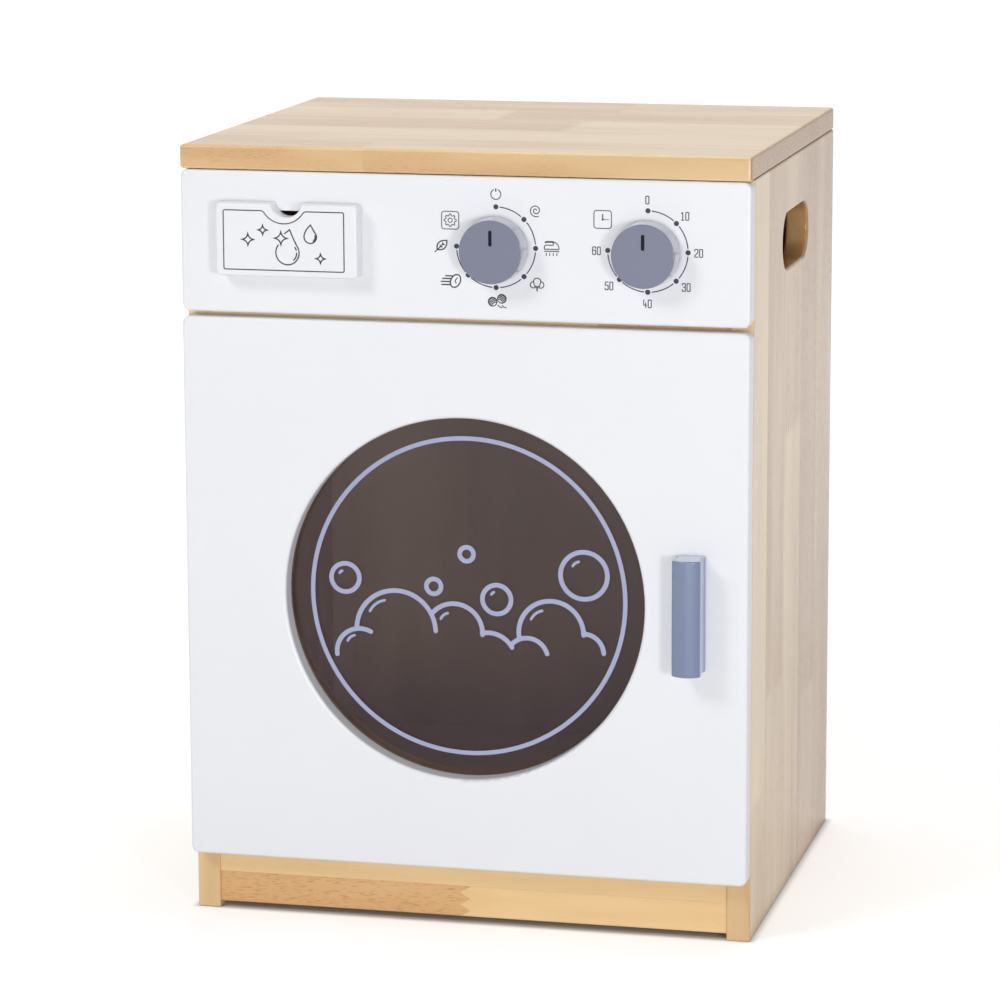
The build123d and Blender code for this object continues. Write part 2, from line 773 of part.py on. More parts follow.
# ---------------------------------------------------------------- magnet catches
with BuildPart() as catch_magnets:
    with BuildSketch(facing_front(carcass_front_y + magnet_thickness)):
        with Locations(*catch_points):
            Circle(magnet_radius)
    extrude(amount=magnet_thickness)
keep("catch_magnets", catch_magnets.part)

with BuildPart() as catch_strikes:
    with BuildSketch(facing_front(door_back_y)):
        with Locations(*catch_points):
            Circle(strike_radius)
    extrude(amount=strike_thickness)
    sink(strike_planes, small_screw_radius, small_screw_head_radius, strike_thickness)
keep("catch_strikes", catch_strikes.part)
strike_screw = countersunk_screw(strike_screw_length, small_screw_radius, small_screw_head_radius)
keep("catch_strike_screws", placed(strike_screw, strike_planes))

# ---------------------------------------------------------------- detergent drawer
drawer_side_x = drawer_width / 2 - drawer_wall / 2
drawer_back_y = drawer_end_y - drawer_wall
drawer_bottom_mid_z = drawer_bottom_z + drawer_bottom_rise + drawer_bottom_thickness / 2
drawer_mid_y = (drawer_front_back_y + drawer_end_y) / 2
drawer_pin_zs = spread(drawer_mid_z - cutout_height / 4, drawer_mid_z + cutout_height / 4, 2)
drawer_pin_hole_radius = drawer_pin_radius + fixed_clearance
drawer_pin_hole_depth = drawer_pin_length / 2 + face_gap
drawer_screw_length = drawer_wall + drawer_inner_width / 6


def drawer_pin_planes(side, normal):
    """Planes across the joint between the drawer front and one drawer side."""
    return [
        Plane(
            origin=(drawer_x + side * drawer_side_x, drawer_front_back_y, z),
            x_dir=(1, 0, 0),
            z_dir=(0, normal, 0),
        )
        for z in drawer_pin_zs
    ]


def drawer_screw_planes(side):
    """Screw places on the outer face of a drawer side, for the screws into the back."""
    x = drawer_x + side * drawer_width / 2
    y = drawer_end_y - drawer_wall / 2
    return [Plane(origin=(x, y, z), x_dir=(0, 1, 0), z_dir=(side, 0, 0)) for z in drawer_pin_zs]


with BuildPart() as drawer_front:
    with BuildSketch(facing_front(drawer_front_back_y)):
        with Locations((drawer_x, drawer_mid_z)):
            RectangleRounded(drawer_front_width, drawer_front_height, drawer_front_corner)
        with Locations((drawer_x, drawer_front_top - notch_depth + notch_radius)):
            Circle(notch_radius, mode=Mode.SUBTRACT)
    extrude(amount=drawer_front_thickness)
    fillet(drawer_front.faces().sort_by(Axis.Y)[0].edges(), drawer_edge_ease)
    drill(
        drawer_pin_planes(-1, 1) + drawer_pin_planes(1, 1),
        drawer_pin_hole_radius,
        drawer_pin_hole_depth,
    )
keep("drawer_front", drawer_front.part)


def drawer_side(side):
    """A drawer side board with the groove for the bottom in its inner face."""
    x = drawer_x + side * drawer_side_x
    with BuildPart() as board:
        with Locations((x, drawer_mid_y, (drawer_bottom_z + drawer_top) / 2)):
            Box(drawer_wall, drawer_length, drawer_top - drawer_bottom_z)
        groove_x = drawer_x + side * (drawer_inner_width / 2 + drawer_groove / 2)
        with Locations((groove_x, drawer_mid_y, drawer_bottom_mid_z)):
            Box(
                drawer_groove,
                drawer_length,
                drawer_bottom_thickness + 2 * fixed_clearance,
                mode=Mode.SUBTRACT,
            )
        drill(drawer_pin_planes(side, -1), drawer_pin_hole_radius, drawer_pin_hole_depth)
        sink(drawer_screw_planes(side), small_screw_radius, small_screw_head_radius, drawer_wall)
    return board.part


keep("drawer_side_left", drawer_side(-1))
keep("drawer_side_right", drawer_side(1))

with BuildPart() as drawer_bottom:
    with Locations((drawer_x, (drawer_front_back_y + drawer_back_y) / 2, drawer_bottom_mid_z)):
        Box(
            drawer_inner_width + 2 * drawer_groove - 2 * fixed_clearance,
            drawer_back_y - drawer_front_back_y,
            drawer_bottom_thickness,
        )
keep("drawer_bottom", drawer_bottom.part)

# The back stands higher than the cut-out, so it stops the drawer at the control panel.
drawer_back_top = drawer_top + drawer_stop_rise
with BuildPart() as drawer_back:
    with Locations(
        (drawer_x, (drawer_back_y + drawer_end_y) / 2, (drawer_bottom_z + drawer_back_top) / 2)
    ):
        Box(drawer_inner_width, drawer_wall, drawer_back_top - drawer_bottom_z)
    for side in (-1, 1):
        drill(
            [plane.offset(-drawer_wall) for plane in drawer_screw_planes(side)],
            small_screw_radius + fixed_clearance,
            drawer_screw_length - drawer_wall + face_gap,
        )
keep("drawer_back", drawer_back.part)

with BuildPart() as drawer_pin:
    Cylinder(drawer_pin_radius, drawer_pin_length)
drawer_pins = placed(drawer_pin.part, drawer_pin_planes(-1, 1) + drawer_pin_planes(1, 1))
keep("drawer_pins", drawer_pins)
drawer_screw = countersunk_screw(drawer_screw_length, small_screw_radius, small_screw_head_radius)
keep("drawer_back_screws", placed(drawer_screw, drawer_screw_planes(-1) + drawer_screw_planes(1)))

# ---------------------------------------------------------------- drawer guides
guide_screw_length = guide_base_thickness + guide_block_height / 2
guide_screw_planes = [
    Plane(origin=(drawer_x + dx, guide_mid_y, guide_top))
    for dx in (-guide_base_width / 4, guide_base_width / 4)
]

with BuildPart() as guide_base:
    with Locations((drawer_x, guide_mid_y, guide_top - guide_base_thickness / 2)):
        Box(guide_base_width, guide_length, guide_base_thickness)
    sink(guide_screw_planes, screw_radius, screw_head_radius, guide_base_thickness)
keep("guide_base", guide_base.part)


def guide_rail(side):
    """The low rail on the base that keeps the drawer straight on this side."""
    x = drawer_x + side * (guide_half + guide_rail_thickness / 2)
    with BuildPart() as rail:
        with Locations((x, guide_mid_y, guide_top + guide_rail_height / 2)):
            Box(guide_rail_thickness, guide_length, guide_rail_height)
    return rail.part


keep("guide_rail_left", guide_rail(-1))
keep("guide_rail_right", guide_rail(1))

with BuildPart() as guide_block:
    with Locations((drawer_x, guide_mid_y, divider_top + guide_block_height / 2)):
        Box(guide_base_width, guide_block_depth, guide_block_height)
    drill(
        [plane.offset(-guide_base_thickness) for plane in guide_screw_planes],
        screw_radius + fixed_clearance,
        guide_screw_length - guide_base_thickness + face_gap,
    )
    drill(
        [plane.offset(-divider_thickness) for plane in block_screw_planes],
        screw_radius + fixed_clearance,
        block_screw_length - divider_thickness + face_gap,
    )
keep("guide_block", guide_block.part)
guide_screw = countersunk_screw(guide_screw_length, screw_radius, screw_head_radius)
keep("guide_base_screws", placed(guide_screw, guide_screw_planes))
block_screw = countersunk_screw(block_screw_length, screw_radius, screw_head_radius)
keep("guide_block_screws", placed(block_screw, block_screw_planes))

# ---------------------------------------------------------------- knobs
with BuildPart() as knob_felt_washers:
    with BuildSketch(facing_front(front_y)):
        with Locations(*knob_points):
            Circle(felt_radius)
            Circle(spindle_radius + face_gap, mode=Mode.SUBTRACT)
    extrude(amount=felt_thickness)
keep("knob_felt_washers", knob_felt_washers.part)

mark_mid = (mark_inner_radius + mark_outer_radius) / 2
mark_length = mark_outer_radius - mark_inner_radius
disc_screw_length = disc_thickness + disc_screw_grip
spindle_front_y = knob_back_y - spindle_socket


def knob_pieces(x):
    """The pieces of one knob: cap, inlaid mark, spindle, retaining disc and its screw."""
    with BuildPart() as cap:
        with BuildSketch(facing_front(knob_back_y)):
            with Locations((x, knob_z)):
                Circle(knob_radius)
        extrude(amount=knob_back_y - knob_front_y, taper=knob_taper)
        fillet(cap.edges().group_by(Axis.Y)[0], knob_edge)
        fillet(cap.edges().group_by(Axis.Y)[-1], knob_back_edge)
        with BuildSketch(facing_front(knob_back_y)):
            with Locations((x, knob_z)):
                Circle(spindle_radius + fixed_clearance)
        extrude(amount=spindle_socket + fixed_clearance, mode=Mode.SUBTRACT)
        with BuildSketch(facing_front(knob_front_y)):
            with Locations((x, knob_z + mark_mid)):
                SlotOverall(mark_length, mark_width, rotation=90)
        extrude(amount=-mark_depth, mode=Mode.SUBTRACT)
    with BuildPart() as mark:
        with BuildSketch(facing_front(knob_front_y + mark_depth)):
            with Locations((x, knob_z + mark_mid)):
                SlotOverall(
                    mark_length - 2 * fixed_clearance,
                    mark_width - 2 * fixed_clearance,
                    rotation=90,
                )
        extrude(amount=mark_depth + mark_proud)
    with BuildPart() as spindle:
        with BuildSketch(facing_front(disc_front_y)):
            with Locations((x, knob_z)):
                Circle(spindle_radius)
        extrude(amount=disc_front_y - spindle_front_y)
        drill(
            [facing_rear(disc_front_y, x, knob_z)],
            pan_screw_radius + fixed_clearance,
            disc_screw_grip + face_gap,
        )
    with BuildPart() as disc:
        with BuildSketch(facing_front(disc_front_y + disc_thickness)):
            with Locations((x, knob_z)):
                Circle(disc_radius)
                Circle(pan_screw_radius + fixed_clearance, mode=Mode.SUBTRACT)
        extrude(amount=disc_thickness)
    disc_rear = facing_rear(disc_front_y + disc_thickness, x, knob_z)
    screw = pan_screw(disc_screw_length, pan_screw_radius, pan_head_radius, pan_head_height)
    return {
        "knob": cap.part,
        "mark": mark.part,
        "spindle": spindle.part,
        "disc": disc.part,
        "disc_screw": placed(screw, [disc_rear]),
    }


for knob_name, knob_x in knob_places.items():
    for piece_name, piece in knob_pieces(knob_x).items():
        keep(f"{knob_name}_{piece_name}", piece)
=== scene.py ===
"""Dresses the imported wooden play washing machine: its finishes, its prints and the studio.

Lengths are in metres, apart from the prints, whose drawings are in millimetres and are
scaled where they are laid on a face.
"""

import logging
import math
from dataclasses import dataclass, field
from enum import Enum
import bmesh
import bpy
from mathutils import Matrix, Vector


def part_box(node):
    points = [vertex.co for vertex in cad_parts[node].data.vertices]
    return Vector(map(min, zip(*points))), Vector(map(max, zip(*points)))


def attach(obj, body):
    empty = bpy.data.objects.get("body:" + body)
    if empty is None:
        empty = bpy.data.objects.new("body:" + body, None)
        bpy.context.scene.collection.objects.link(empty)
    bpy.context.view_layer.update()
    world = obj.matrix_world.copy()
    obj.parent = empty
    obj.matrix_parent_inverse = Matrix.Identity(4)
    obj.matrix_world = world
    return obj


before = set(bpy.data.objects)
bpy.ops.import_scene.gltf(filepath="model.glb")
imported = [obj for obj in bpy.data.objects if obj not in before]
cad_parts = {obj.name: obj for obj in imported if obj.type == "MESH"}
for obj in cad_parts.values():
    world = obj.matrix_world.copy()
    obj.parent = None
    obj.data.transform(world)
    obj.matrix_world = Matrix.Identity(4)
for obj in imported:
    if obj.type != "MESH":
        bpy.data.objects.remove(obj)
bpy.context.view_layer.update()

Colour = tuple[float, float, float]
Point = tuple[float, float]

MM = 0.001
FULL_TURN = 360.0

log = logging.getLogger("washing_machine")


def srgb(red: int, green: int, blue: int) -> Colour:
    """Linear colour of an 8-bit screen colour.

    Args:
        red: Red, 0 to 255.
        green: Green, 0 to 255.
        blue: Blue, 0 to 255.

    Returns:
        The three linear components.
    """

    def linear(value: int) -> float:
        """One component, by the screen standard's own curve."""
        share = value / 255
        return share / 12.92 if share <= 0.04045 else ((share + 0.055) / 1.055) ** 2.4

    return linear(red), linear(green), linear(blue)


# ------------------------------------------------------------------ shader sheets


class Signal:
    """One shader output whose arithmetic adds Math nodes to its sheet."""

    def __init__(self, sheet: "NodeSheet", node: bpy.types.Node, output: int | str = 0) -> None:
        """Keeps the sheet, the node and the output that this signal stands for.

        Args:
            sheet: The sheet that the node is on.
            node: The node.
            output: Its output, by place or name.
        """
        self.sheet = sheet
        self.node = node
        self.socket = node.outputs[output]

    def out(self, name: str) -> "Signal":
        """Another output of the same node."""
        return Signal(self.sheet, self.node, name)

    def _math(self, operation: str, *values: "Signal | float") -> "Signal":
        """A Math node on these values."""
        settings = {"operation": operation}
        return self.sheet.add("ShaderNodeMath", settings, dict(enumerate(values)))

    def __add__(self, other: "Signal | float") -> "Signal":
        """self + other."""
        return self._math("ADD", self, other)

    def __radd__(self, other: float) -> "Signal":
        """other + self."""
        return self._math("ADD", other, self)

    def __sub__(self, other: "Signal | float") -> "Signal":
        """self - other."""
        return self._math("SUBTRACT", self, other)

    def __rsub__(self, other: float) -> "Signal":
        """other - self."""
        return self._math("SUBTRACT", other, self)

    def __mul__(self, other: "Signal | float") -> "Signal":
        """self * other."""
        return self._math("MULTIPLY", self, other)

    def __rmul__(self, other: float) -> "Signal":
        """other * self."""
        return self._math("MULTIPLY", other, self)

    def __truediv__(self, other: "Signal | float") -> "Signal":
        """self / other."""
        return self._math("DIVIDE", self, other)

    def __abs__(self) -> "Signal":
        """The signal without its sign."""
        return self._math("ABSOLUTE", self)

    def floor(self) -> "Signal":
        """The whole part."""
        return self._math("FLOOR", self)

    def maximum(self, other: "Signal | float") -> "Signal":
        """The larger of the two."""
        return self._math("MAXIMUM", self, other)

    def matches(self, number: float) -> "Signal":
        """1 where the signal is this whole number, else 0."""
        return self._math("COMPARE", self, number, 0.5)

    def zigzag(self, height: float) -> "Signal":
        """The signal folded back and forth between 0 and height."""
        return self._math("PINGPONG", self, height)

    def step(self, low: float, high: float) -> "Signal":
        """A smooth rise from 0 at low to 1 at high.

        Args:
            low: Where the rise starts.
            high: Where it ends, which may be below low for a fall.

        Returns:
            A signal from 0 to 1.
        """
        start, end, first, last = (low, high, 0.0, 1.0) if low < high else (high, low, 1.0, 0.0)
        return self.sheet.add(
            "ShaderNodeMapRange",
            {"interpolation_type": "SMOOTHSTEP"},
            {"Value": self, "From Min": start, "From Max": end, "To Min": first, "To Max": last},
        )


class NodeSheet:
    """The node tree of one material or of the world, to which a finish adds its nodes."""

    def __init__(self, owner: bpy.types.Material | bpy.types.World) -> None:
        """Empties the owner's node tree.

        Args:
            owner: The material or world.
        """
        owner.use_nodes = True
        self.owner = owner
        self.tree = owner.node_tree
        self.tree.nodes.clear()

    def add(
        self,
        kind: str,
        settings: dict | None = None,
        sockets: dict | None = None,
        output: int | str = 0,
    ) -> Signal:
        """Adds one node.

        Args:
            kind: The node's type.
            settings: Its options, set first. "stops" are a ramp's (place, colour) pairs.
            sockets: Values or signals for its inputs, by name or place.
            output: The output that the returned signal stands for.

        Returns:
            The node's signal.
        """
        node = self.tree.nodes.new(kind)
        for name, value in (settings or {}).items():
            if name == "stops":
                self._set_stops(node.color_ramp, value)
            else:
                setattr(node, name, value)
        self._feed(node, sockets or {})
        return Signal(self, node, output)

    def _feed(self, node: bpy.types.Node, sockets: dict) -> None:
        """Sets or links a node's inputs."""
        for name, value in sockets.items():
            if isinstance(value, Signal):
                self.tree.links.new(value.socket, node.inputs[name])
            elif isinstance(value, tuple) and node.inputs[name].type == "RGBA":
                node.inputs[name].default_value = (*value, 1.0)
            else:
                node.inputs[name].default_value = value

    def _set_stops(self, ramp: bpy.types.ColorRamp, stops: list[tuple[float, Colour]]) -> None:
        """Gives a colour ramp its stops."""
        while len(ramp.elements) < len(stops):
            ramp.elements.new(1.0)
        for element, (place, colour) in zip(ramp.elements, stops):
            element.position = place
            element.color = (*colour, 1.0)

    def mix(
        self, share: "Signal | float", first: "Signal | Colour", second: "Signal | Colour",
        blend: str = "MIX",
    ) -> Signal:
        """Mixes two colours.

        Args:
            share: How much of the second colour, 0 to 1.
            first: The first colour.
            second: The second colour.
            blend: The Mix node's blend type.

        Returns:
            The mixed colour.
        """
        settings = {"data_type": "RGBA", "blend_type": blend}
        return self.add("ShaderNodeMix", settings, {0: share, 6: first, 7: second}, 2)

    def point(self, x: "Signal | float", y: "Signal | float", z: "Signal | float") -> Signal:
        """A vector of three values."""
        return self.add("ShaderNodeCombineXYZ", None, {0: x, 1: y, 2: z})

    def noise(self, vector: Signal, scale: float, detail: float = 2.0) -> Signal:
        """Smooth noise, around one half."""
        sockets = {"Vector": vector, "Scale": scale, "Detail": detail}
        return self.add("ShaderNodeTexNoise", None, sockets)

    def place(self) -> Signal:
        """The place on the piece in its own coordinates, which move with it."""
        return self.add("ShaderNodeTexCoord", None, None, "Object")

    def bump(self, height: Signal, distance: float, strength: float = 1.0) -> Signal:
        """The surface normal bent by a height.

        Args:
            height: The height, as a share of distance.
            distance: The height of 1, in metres.
            strength: How much of it shows.

        Returns:
            The bent normal.
        """
        sockets = {"Height": height, "Distance": distance, "Strength": strength}
        return self.add("ShaderNodeBump", None, sockets)

    def surface(self, sockets: dict) -> None:
        """Ends the sheet with a Principled shader on the surface."""
        shader = self.add("ShaderNodeBsdfPrincipled", None, sockets)
        self.close(shader)

    def close(self, shader: Signal) -> None:
        """Links a shader to the material's or the world's output."""
        kind = "World" if isinstance(self.owner, bpy.types.World) else "Material"
        output = self.tree.nodes.new(f"ShaderNodeOutput{kind}")
        self.tree.links.new(shader.socket, output.inputs["Surface"])


# ------------------------------------------------------------------ finishes


class Axis(Enum):
    """A direction of the frame, as a place in a point."""

    X = 0
    Y = 1
    Z = 2


@dataclass(frozen=True)
class Finish:
    """What every finish has: its name and the record's slot that it belongs to."""

    name: str
    slot: str

    def sheet(self) -> NodeSheet:
        """A new sheet on a new material of this name."""
        return NodeSheet(bpy.data.materials.new(self.name))

    def material(self) -> bpy.types.Material:
        """The finish's material, made once."""
        made = bpy.data.materials.get(self.name)
        if made is not None:
            return made
        sheet = self.sheet()
        self.draw(sheet)
        return sheet.owner

    def draw(self, sheet: NodeSheet) -> None:
        """Adds the finish's nodes to an empty sheet."""
        raise NotImplementedError


@dataclass(frozen=True)
class Stave:
    """One stave of a glued board: two lengths that meet in a finger joint.

    The shares say how much ruddy heartwood each length shows, from 0 to 1; on the side panels they
    also carry painted shade that darkens the sides towards the rear.
    """

    joint: float
    first: float
    last: float


@dataclass(frozen=True)
class Rubberwood(Finish):
    """Lacquered rubberwood, glued from staves that are finger-jointed end to end."""

    slot: str = "rubberwood"
    grain: Axis = Axis.X
    across: Axis = Axis.Y
    stave_width: float = 0.0622
    stave_start: float = 0.0
    staves: tuple[Stave, ...] = ()
    piece_length: float = 0.40
    seed: float = 0.0
    pale: Colour = srgb(241, 211, 161)
    ruddy: Colour = srgb(216, 171, 117)
    end_grain: Colour = srgb(166, 123, 82)
    pore: Colour = srgb(150, 98, 56)
    knot: Colour = srgb(166, 98, 42)
    joint_line: float = 0.0003
    tooth_length: float = 0.007
    tooth_pitch: float = 0.004
    pore_strength: float = 0.36
    figure_strength: float = 1.0
    gloss: float = 0.17
    shine: float = 0.5

    def draw(self, sheet: NodeSheet) -> None:
        """Draws staves, figure, growth lines, pores, knots and end grain."""
        split = sheet.add("ShaderNodeSeparateXYZ", None, {0: sheet.place()})
        axes = {axis: split.out(axis.name) for axis in Axis}
        depth_axis = next(a for a in Axis if a not in (self.grain, self.across))
        along, across, depth = axes[self.grain], axes[self.across], axes[depth_axis]

        stave = ((across - self.stave_start) / self.stave_width).floor()
        teeth = across.zigzag(self.tooth_pitch) * (self.tooth_length / self.tooth_pitch)
        if self.staves:
            share, length = self._chosen_staves(stave, along + teeth)
        else:
            share, length = self._random_staves(sheet, stave, along + teeth)
        luck = sheet.add(
            "ShaderNodeTexWhiteNoise",
            {"noise_dimensions": "3D"},
            {"Vector": sheet.point(stave, length, self.seed)},
            "Value",
        )

        wave_place = self._stretched(sheet, along, across, depth, (5.0, 11.0), luck * 23.0)
        wave = (sheet.noise(wave_place, 1.0, 1.0) - 0.5) * 0.040
        bent = across + wave
        figure_place = self._stretched(sheet, along, bent, depth, (4.0, 26.0), luck * 31.0)
        figure = sheet.noise(figure_place, 1.0, 3.0)
        line_place = self._stretched(sheet, along, bent, depth, (7.0, 210.0), luck * 17.0)
        lines = sheet.noise(line_place, 1.0, 2.0)
        fibre_place = self._stretched(sheet, along, bent, depth, (40.0, 1300.0), luck * 13.0)
        fibres = sheet.noise(fibre_place, 1.0, 2.0)
        pore_place = self._stretched(sheet, along, bent, depth, (170.0, 2300.0), luck * 9.0)
        pore_noise = sheet.noise(pore_place, 1.0, 0.0)

        cloud = (figure - 0.5) * (1.7 * self.figure_strength)
        heart = (share * 0.8 + 0.1 + cloud).step(-0.05, 1.0)
        base = sheet.mix(heart, self.pale, self.ruddy)
        grown = (lines - 0.5) * (0.04 + heart * 0.11)
        tone = 0.965 + luck * 0.045 + (fibres - 0.5) * 0.07 + grown
        shaded = sheet.mix(1.0, base, sheet.point(tone, tone * 0.997, tone * 0.99), "MULTIPLY")

        crowd = (heart * 0.9 + lines * 0.9 - 0.72).step(0.0, 0.5)
        pores = pore_noise.step(0.60, 0.72) * (0.10 + crowd) * self.pore_strength
        with_pores = sheet.mix(pores, shaded, self.pore)
        knot_mask = self._knots(sheet, along, bent, depth)
        with_knots = sheet.mix(knot_mask * 0.75, with_pores, self.knot)
        seam = self._seams(across) * 0.22
        jointed = sheet.mix(seam, with_knots, self.pore)

        end_mask = self._end_mask(sheet)
        end_dots = sheet.noise(sheet.place(), 900.0, 2.0).step(0.52, 0.70)
        end_colour = sheet.mix(end_dots * 0.35, self.end_grain, self.pore)
        end_shaded = sheet.mix(1.0, end_colour, sheet.point(tone, tone, tone), "MULTIPLY")
        colour = sheet.mix(end_mask * 0.8, jointed, end_shaded)

        roughness = self.gloss + (fibres - 0.5) * 0.12 + pores * 0.18 + end_mask * 0.10
        height = fibres * 0.5 - pores * 1.2 - seam - end_dots * end_mask * 0.6
        sheet.surface(
            {
                "Base Color": colour,
                "Roughness": roughness,
                "Specular IOR Level": self.shine,
                "Normal": sheet.bump(height, 0.00006, 0.55),
            }
        )

    def _chosen_staves(self, stave: Signal, along: Signal) -> tuple[Signal, Signal]:
        """The heartwood of each named stave.

        Args:
            stave: The stave's number.
            along: The place along the grain, with the joints' teeth in it.

        Returns:
            The share of heartwood, and 0 or 1 for the first or last length.
        """
        share: Signal | float = 0.0
        length: Signal | float = 0.0
        for number, chosen in enumerate(self.staves):
            here = stave.matches(float(number))
            past = (along - chosen.joint).step(-0.0002, 0.0002)
            share = here * (past * (chosen.last - chosen.first) + chosen.first) + share
            length = here * past + length
        return share, length

    def _random_staves(
        self, sheet: NodeSheet, stave: Signal, along: Signal
    ) -> tuple[Signal, Signal]:
        """The heartwood of staves that nobody chose.

        Args:
            sheet: The sheet.
            stave: The stave's number.
            along: The place along the grain, with the joints' teeth in it.

        Returns:
            The share of heartwood, and the number of the length.
        """
        settings = {"noise_dimensions": "1D"}
        luck = sheet.add("ShaderNodeTexWhiteNoise", settings, {"W": stave + self.seed}, "Value")
        length = (along / self.piece_length + luck * 7.3).floor()
        place = sheet.point(length, stave, self.seed + 0.5)
        settings = {"noise_dimensions": "3D"}
        share = sheet.add("ShaderNodeTexWhiteNoise", settings, {"Vector": place}, "Value")
        return share * 0.8, length

    def _stretched(
        self, sheet: NodeSheet, along: Signal, across: Signal, depth: Signal,
        scales: tuple[float, float], offset: Signal,
    ) -> Signal:
        """A place whose pattern is stretched along the grain.

        Args:
            sheet: The sheet.
            along: The place along the grain.
            across: The place across the staves.
            depth: The place through the board.
            scales: Features per metre along the grain, and across it.
            offset: What sets one length's pattern apart from the next.

        Returns:
            The stretched place.
        """
        long_scale, cross_scale = scales
        return sheet.point(
            along * long_scale + offset,
            across * cross_scale + offset * 3.1,
            depth * cross_scale + self.seed,
        )

    def _seams(self, across: Signal) -> Signal:
        """Where two staves are glued side by side, from 0 to 1."""
        distance = (across - self.stave_start).zigzag(self.stave_width / 2)
        return distance.step(self.joint_line, 0.0)

    def _knots(self, sheet: NodeSheet, along: Signal, across: Signal, depth: Signal) -> Signal:
        """Where the few small knots and resin marks lie, from 0 to 1."""
        place = sheet.point(along * 5.5 + self.seed, across * 26.0, depth * 26.0)
        cells = sheet.add("ShaderNodeTexVoronoi", None, {"Vector": place, "Scale": 1.0})
        rare = sheet.add("ShaderNodeSeparateColor", None, {0: cells.out("Color")})
        return cells.step(0.075, 0.025) * rare.out("Green").step(0.74, 0.78)

    def _end_mask(self, sheet: NodeSheet) -> Signal:
        """Where the surface faces along the grain, from 0 to 1."""
        normal = sheet.add("ShaderNodeTexCoord", None, None, "Normal")
        parts = sheet.add("ShaderNodeSeparateXYZ", None, {0: normal})
        return abs(parts.out(self.grain.name)).step(0.45, 0.80)


@dataclass(frozen=True)
class SatinPaint(Finish):
    """Sprayed satin paint on a board, with a faint ripple and the grain just under it, and, where
    a rim colour is given, painted light on the faces that turn away from the front.
    """

    slot: str = "painted_board"
    colour: Colour = srgb(236, 237, 241)
    roughness: float = 0.30
    coat: float = 0.0
    coat_roughness: float = 0.24
    # Painted light: a lighter colour on faces that turn away from the front, standing in for the
    # light and gloss on a knob's or handle's sides.
    rim: Colour | None = None
    speckle: float = 0.02
    grain: Axis = Axis.X

    def draw(self, sheet: NodeSheet) -> None:
        """Draws the paint's tone, ripple and grain, and the painted side light where a rim colour
        is given.
        """
        place = sheet.place()
        clouds = sheet.noise(place, 14.0, 3.0)
        ripple = sheet.noise(place, 620.0, 2.0)
        specks = sheet.noise(place, 2600.0, 1.0)
        split = sheet.add("ShaderNodeSeparateXYZ", None, {0: place})
        scales = [16.0 if axis is self.grain else 480.0 for axis in Axis]
        parts = [split.out(axis.name) * scale for axis, scale in zip(Axis, scales)]
        grain = sheet.noise(sheet.point(*parts), 1.0, 3.0)
        tone = 0.985 + (clouds - 0.5) * 0.03 + (grain - 0.5) * 0.018
        tone = tone + (specks - 0.5) * self.speckle
        paint: Signal | Colour = self.colour
        # Painted light: the rim colour lightens the sides, top and bottom, whatever the lamps do.
        if self.rim is not None:
            paint = sheet.mix(self._rim_mask(sheet), self.colour, self.rim)
        colour = sheet.mix(1.0, paint, sheet.point(tone, tone, tone), "MULTIPLY")
        roughness = self.roughness + (ripple - 0.5) * 0.08 + (clouds - 0.5) * 0.06
        height = ripple * 0.7 + grain * 0.5
        sheet.surface(
            {
                "Base Color": colour,
                "Roughness": roughness,
                "Coat Weight": self.coat,
                "Coat Roughness": self.coat_roughness,
                "Normal": sheet.bump(height, 0.00003, 0.6),
            }
        )

    def _rim_mask(self, sheet: NodeSheet) -> Signal:
        """Where the surface turns away from the front, from 0 to 1: where the painted side light
        goes.
        """
        normal = sheet.add("ShaderNodeTexCoord", None, None, "Normal")
        parts = sheet.add("ShaderNodeSeparateXYZ", None, {0: normal})
        return abs(parts.out(Axis.Y.name)).step(0.75, 0.30)


@dataclass(frozen=True)
class PrintInk(Finish):
    """Screen-printed ink, matt and slightly uneven."""

    slot: str = "mark_ink"
    colour: Colour = srgb(46, 49, 55)
    roughness: float = 0.55
    shine: float = 0.5

    def draw(self, sheet: NodeSheet) -> None:
        """Draws the ink's uneven cover."""
        place = sheet.place()
        cover = sheet.noise(place, 1400.0, 2.0)
        clouds = sheet.noise(place, 90.0, 2.0)
        tone = 0.95 + (cover - 0.5) * 0.16 + (clouds - 0.5) * 0.10
        colour = sheet.mix(1.0, self.colour, sheet.point(tone, tone, tone), "MULTIPLY")
        sheet.surface(
            {
                "Base Color": colour,
                "Roughness": self.roughness + (cover - 0.5) * 0.2,
                "Specular IOR Level": self.shine,
                "Normal": sheet.bump(cover, 0.00001, 0.5),
            }
        )


@dataclass(frozen=True)
class SmokedAcrylic(Finish):
    """A smoked brown acrylic sheet, glossy, through which the inside shows faintly."""

    slot: str = "smoked_pane"
    colour: Colour = srgb(38, 10, 34)
    cover: float = 0.36
    shine: float = 0.8
    roughness: float = 0.06

    def draw(self, sheet: NodeSheet) -> None:
        """Draws the pane with a slightly uneven gloss."""
        place = sheet.place()
        smears = sheet.noise(place, 9.0, 4.0)
        streaks = sheet.noise(place, 60.0, 3.0)
        tone = 0.92 + smears * 0.16
        colour = sheet.mix(1.0, self.colour, sheet.point(tone, tone, tone), "MULTIPLY")
        sheet.surface(
            {
                "Base Color": colour,
                "Alpha": self.cover,
                "Specular IOR Level": self.shine,
                "Roughness": self.roughness + smears.step(0.45, 0.75) * 0.05 + streaks * 0.02,
            }
        )


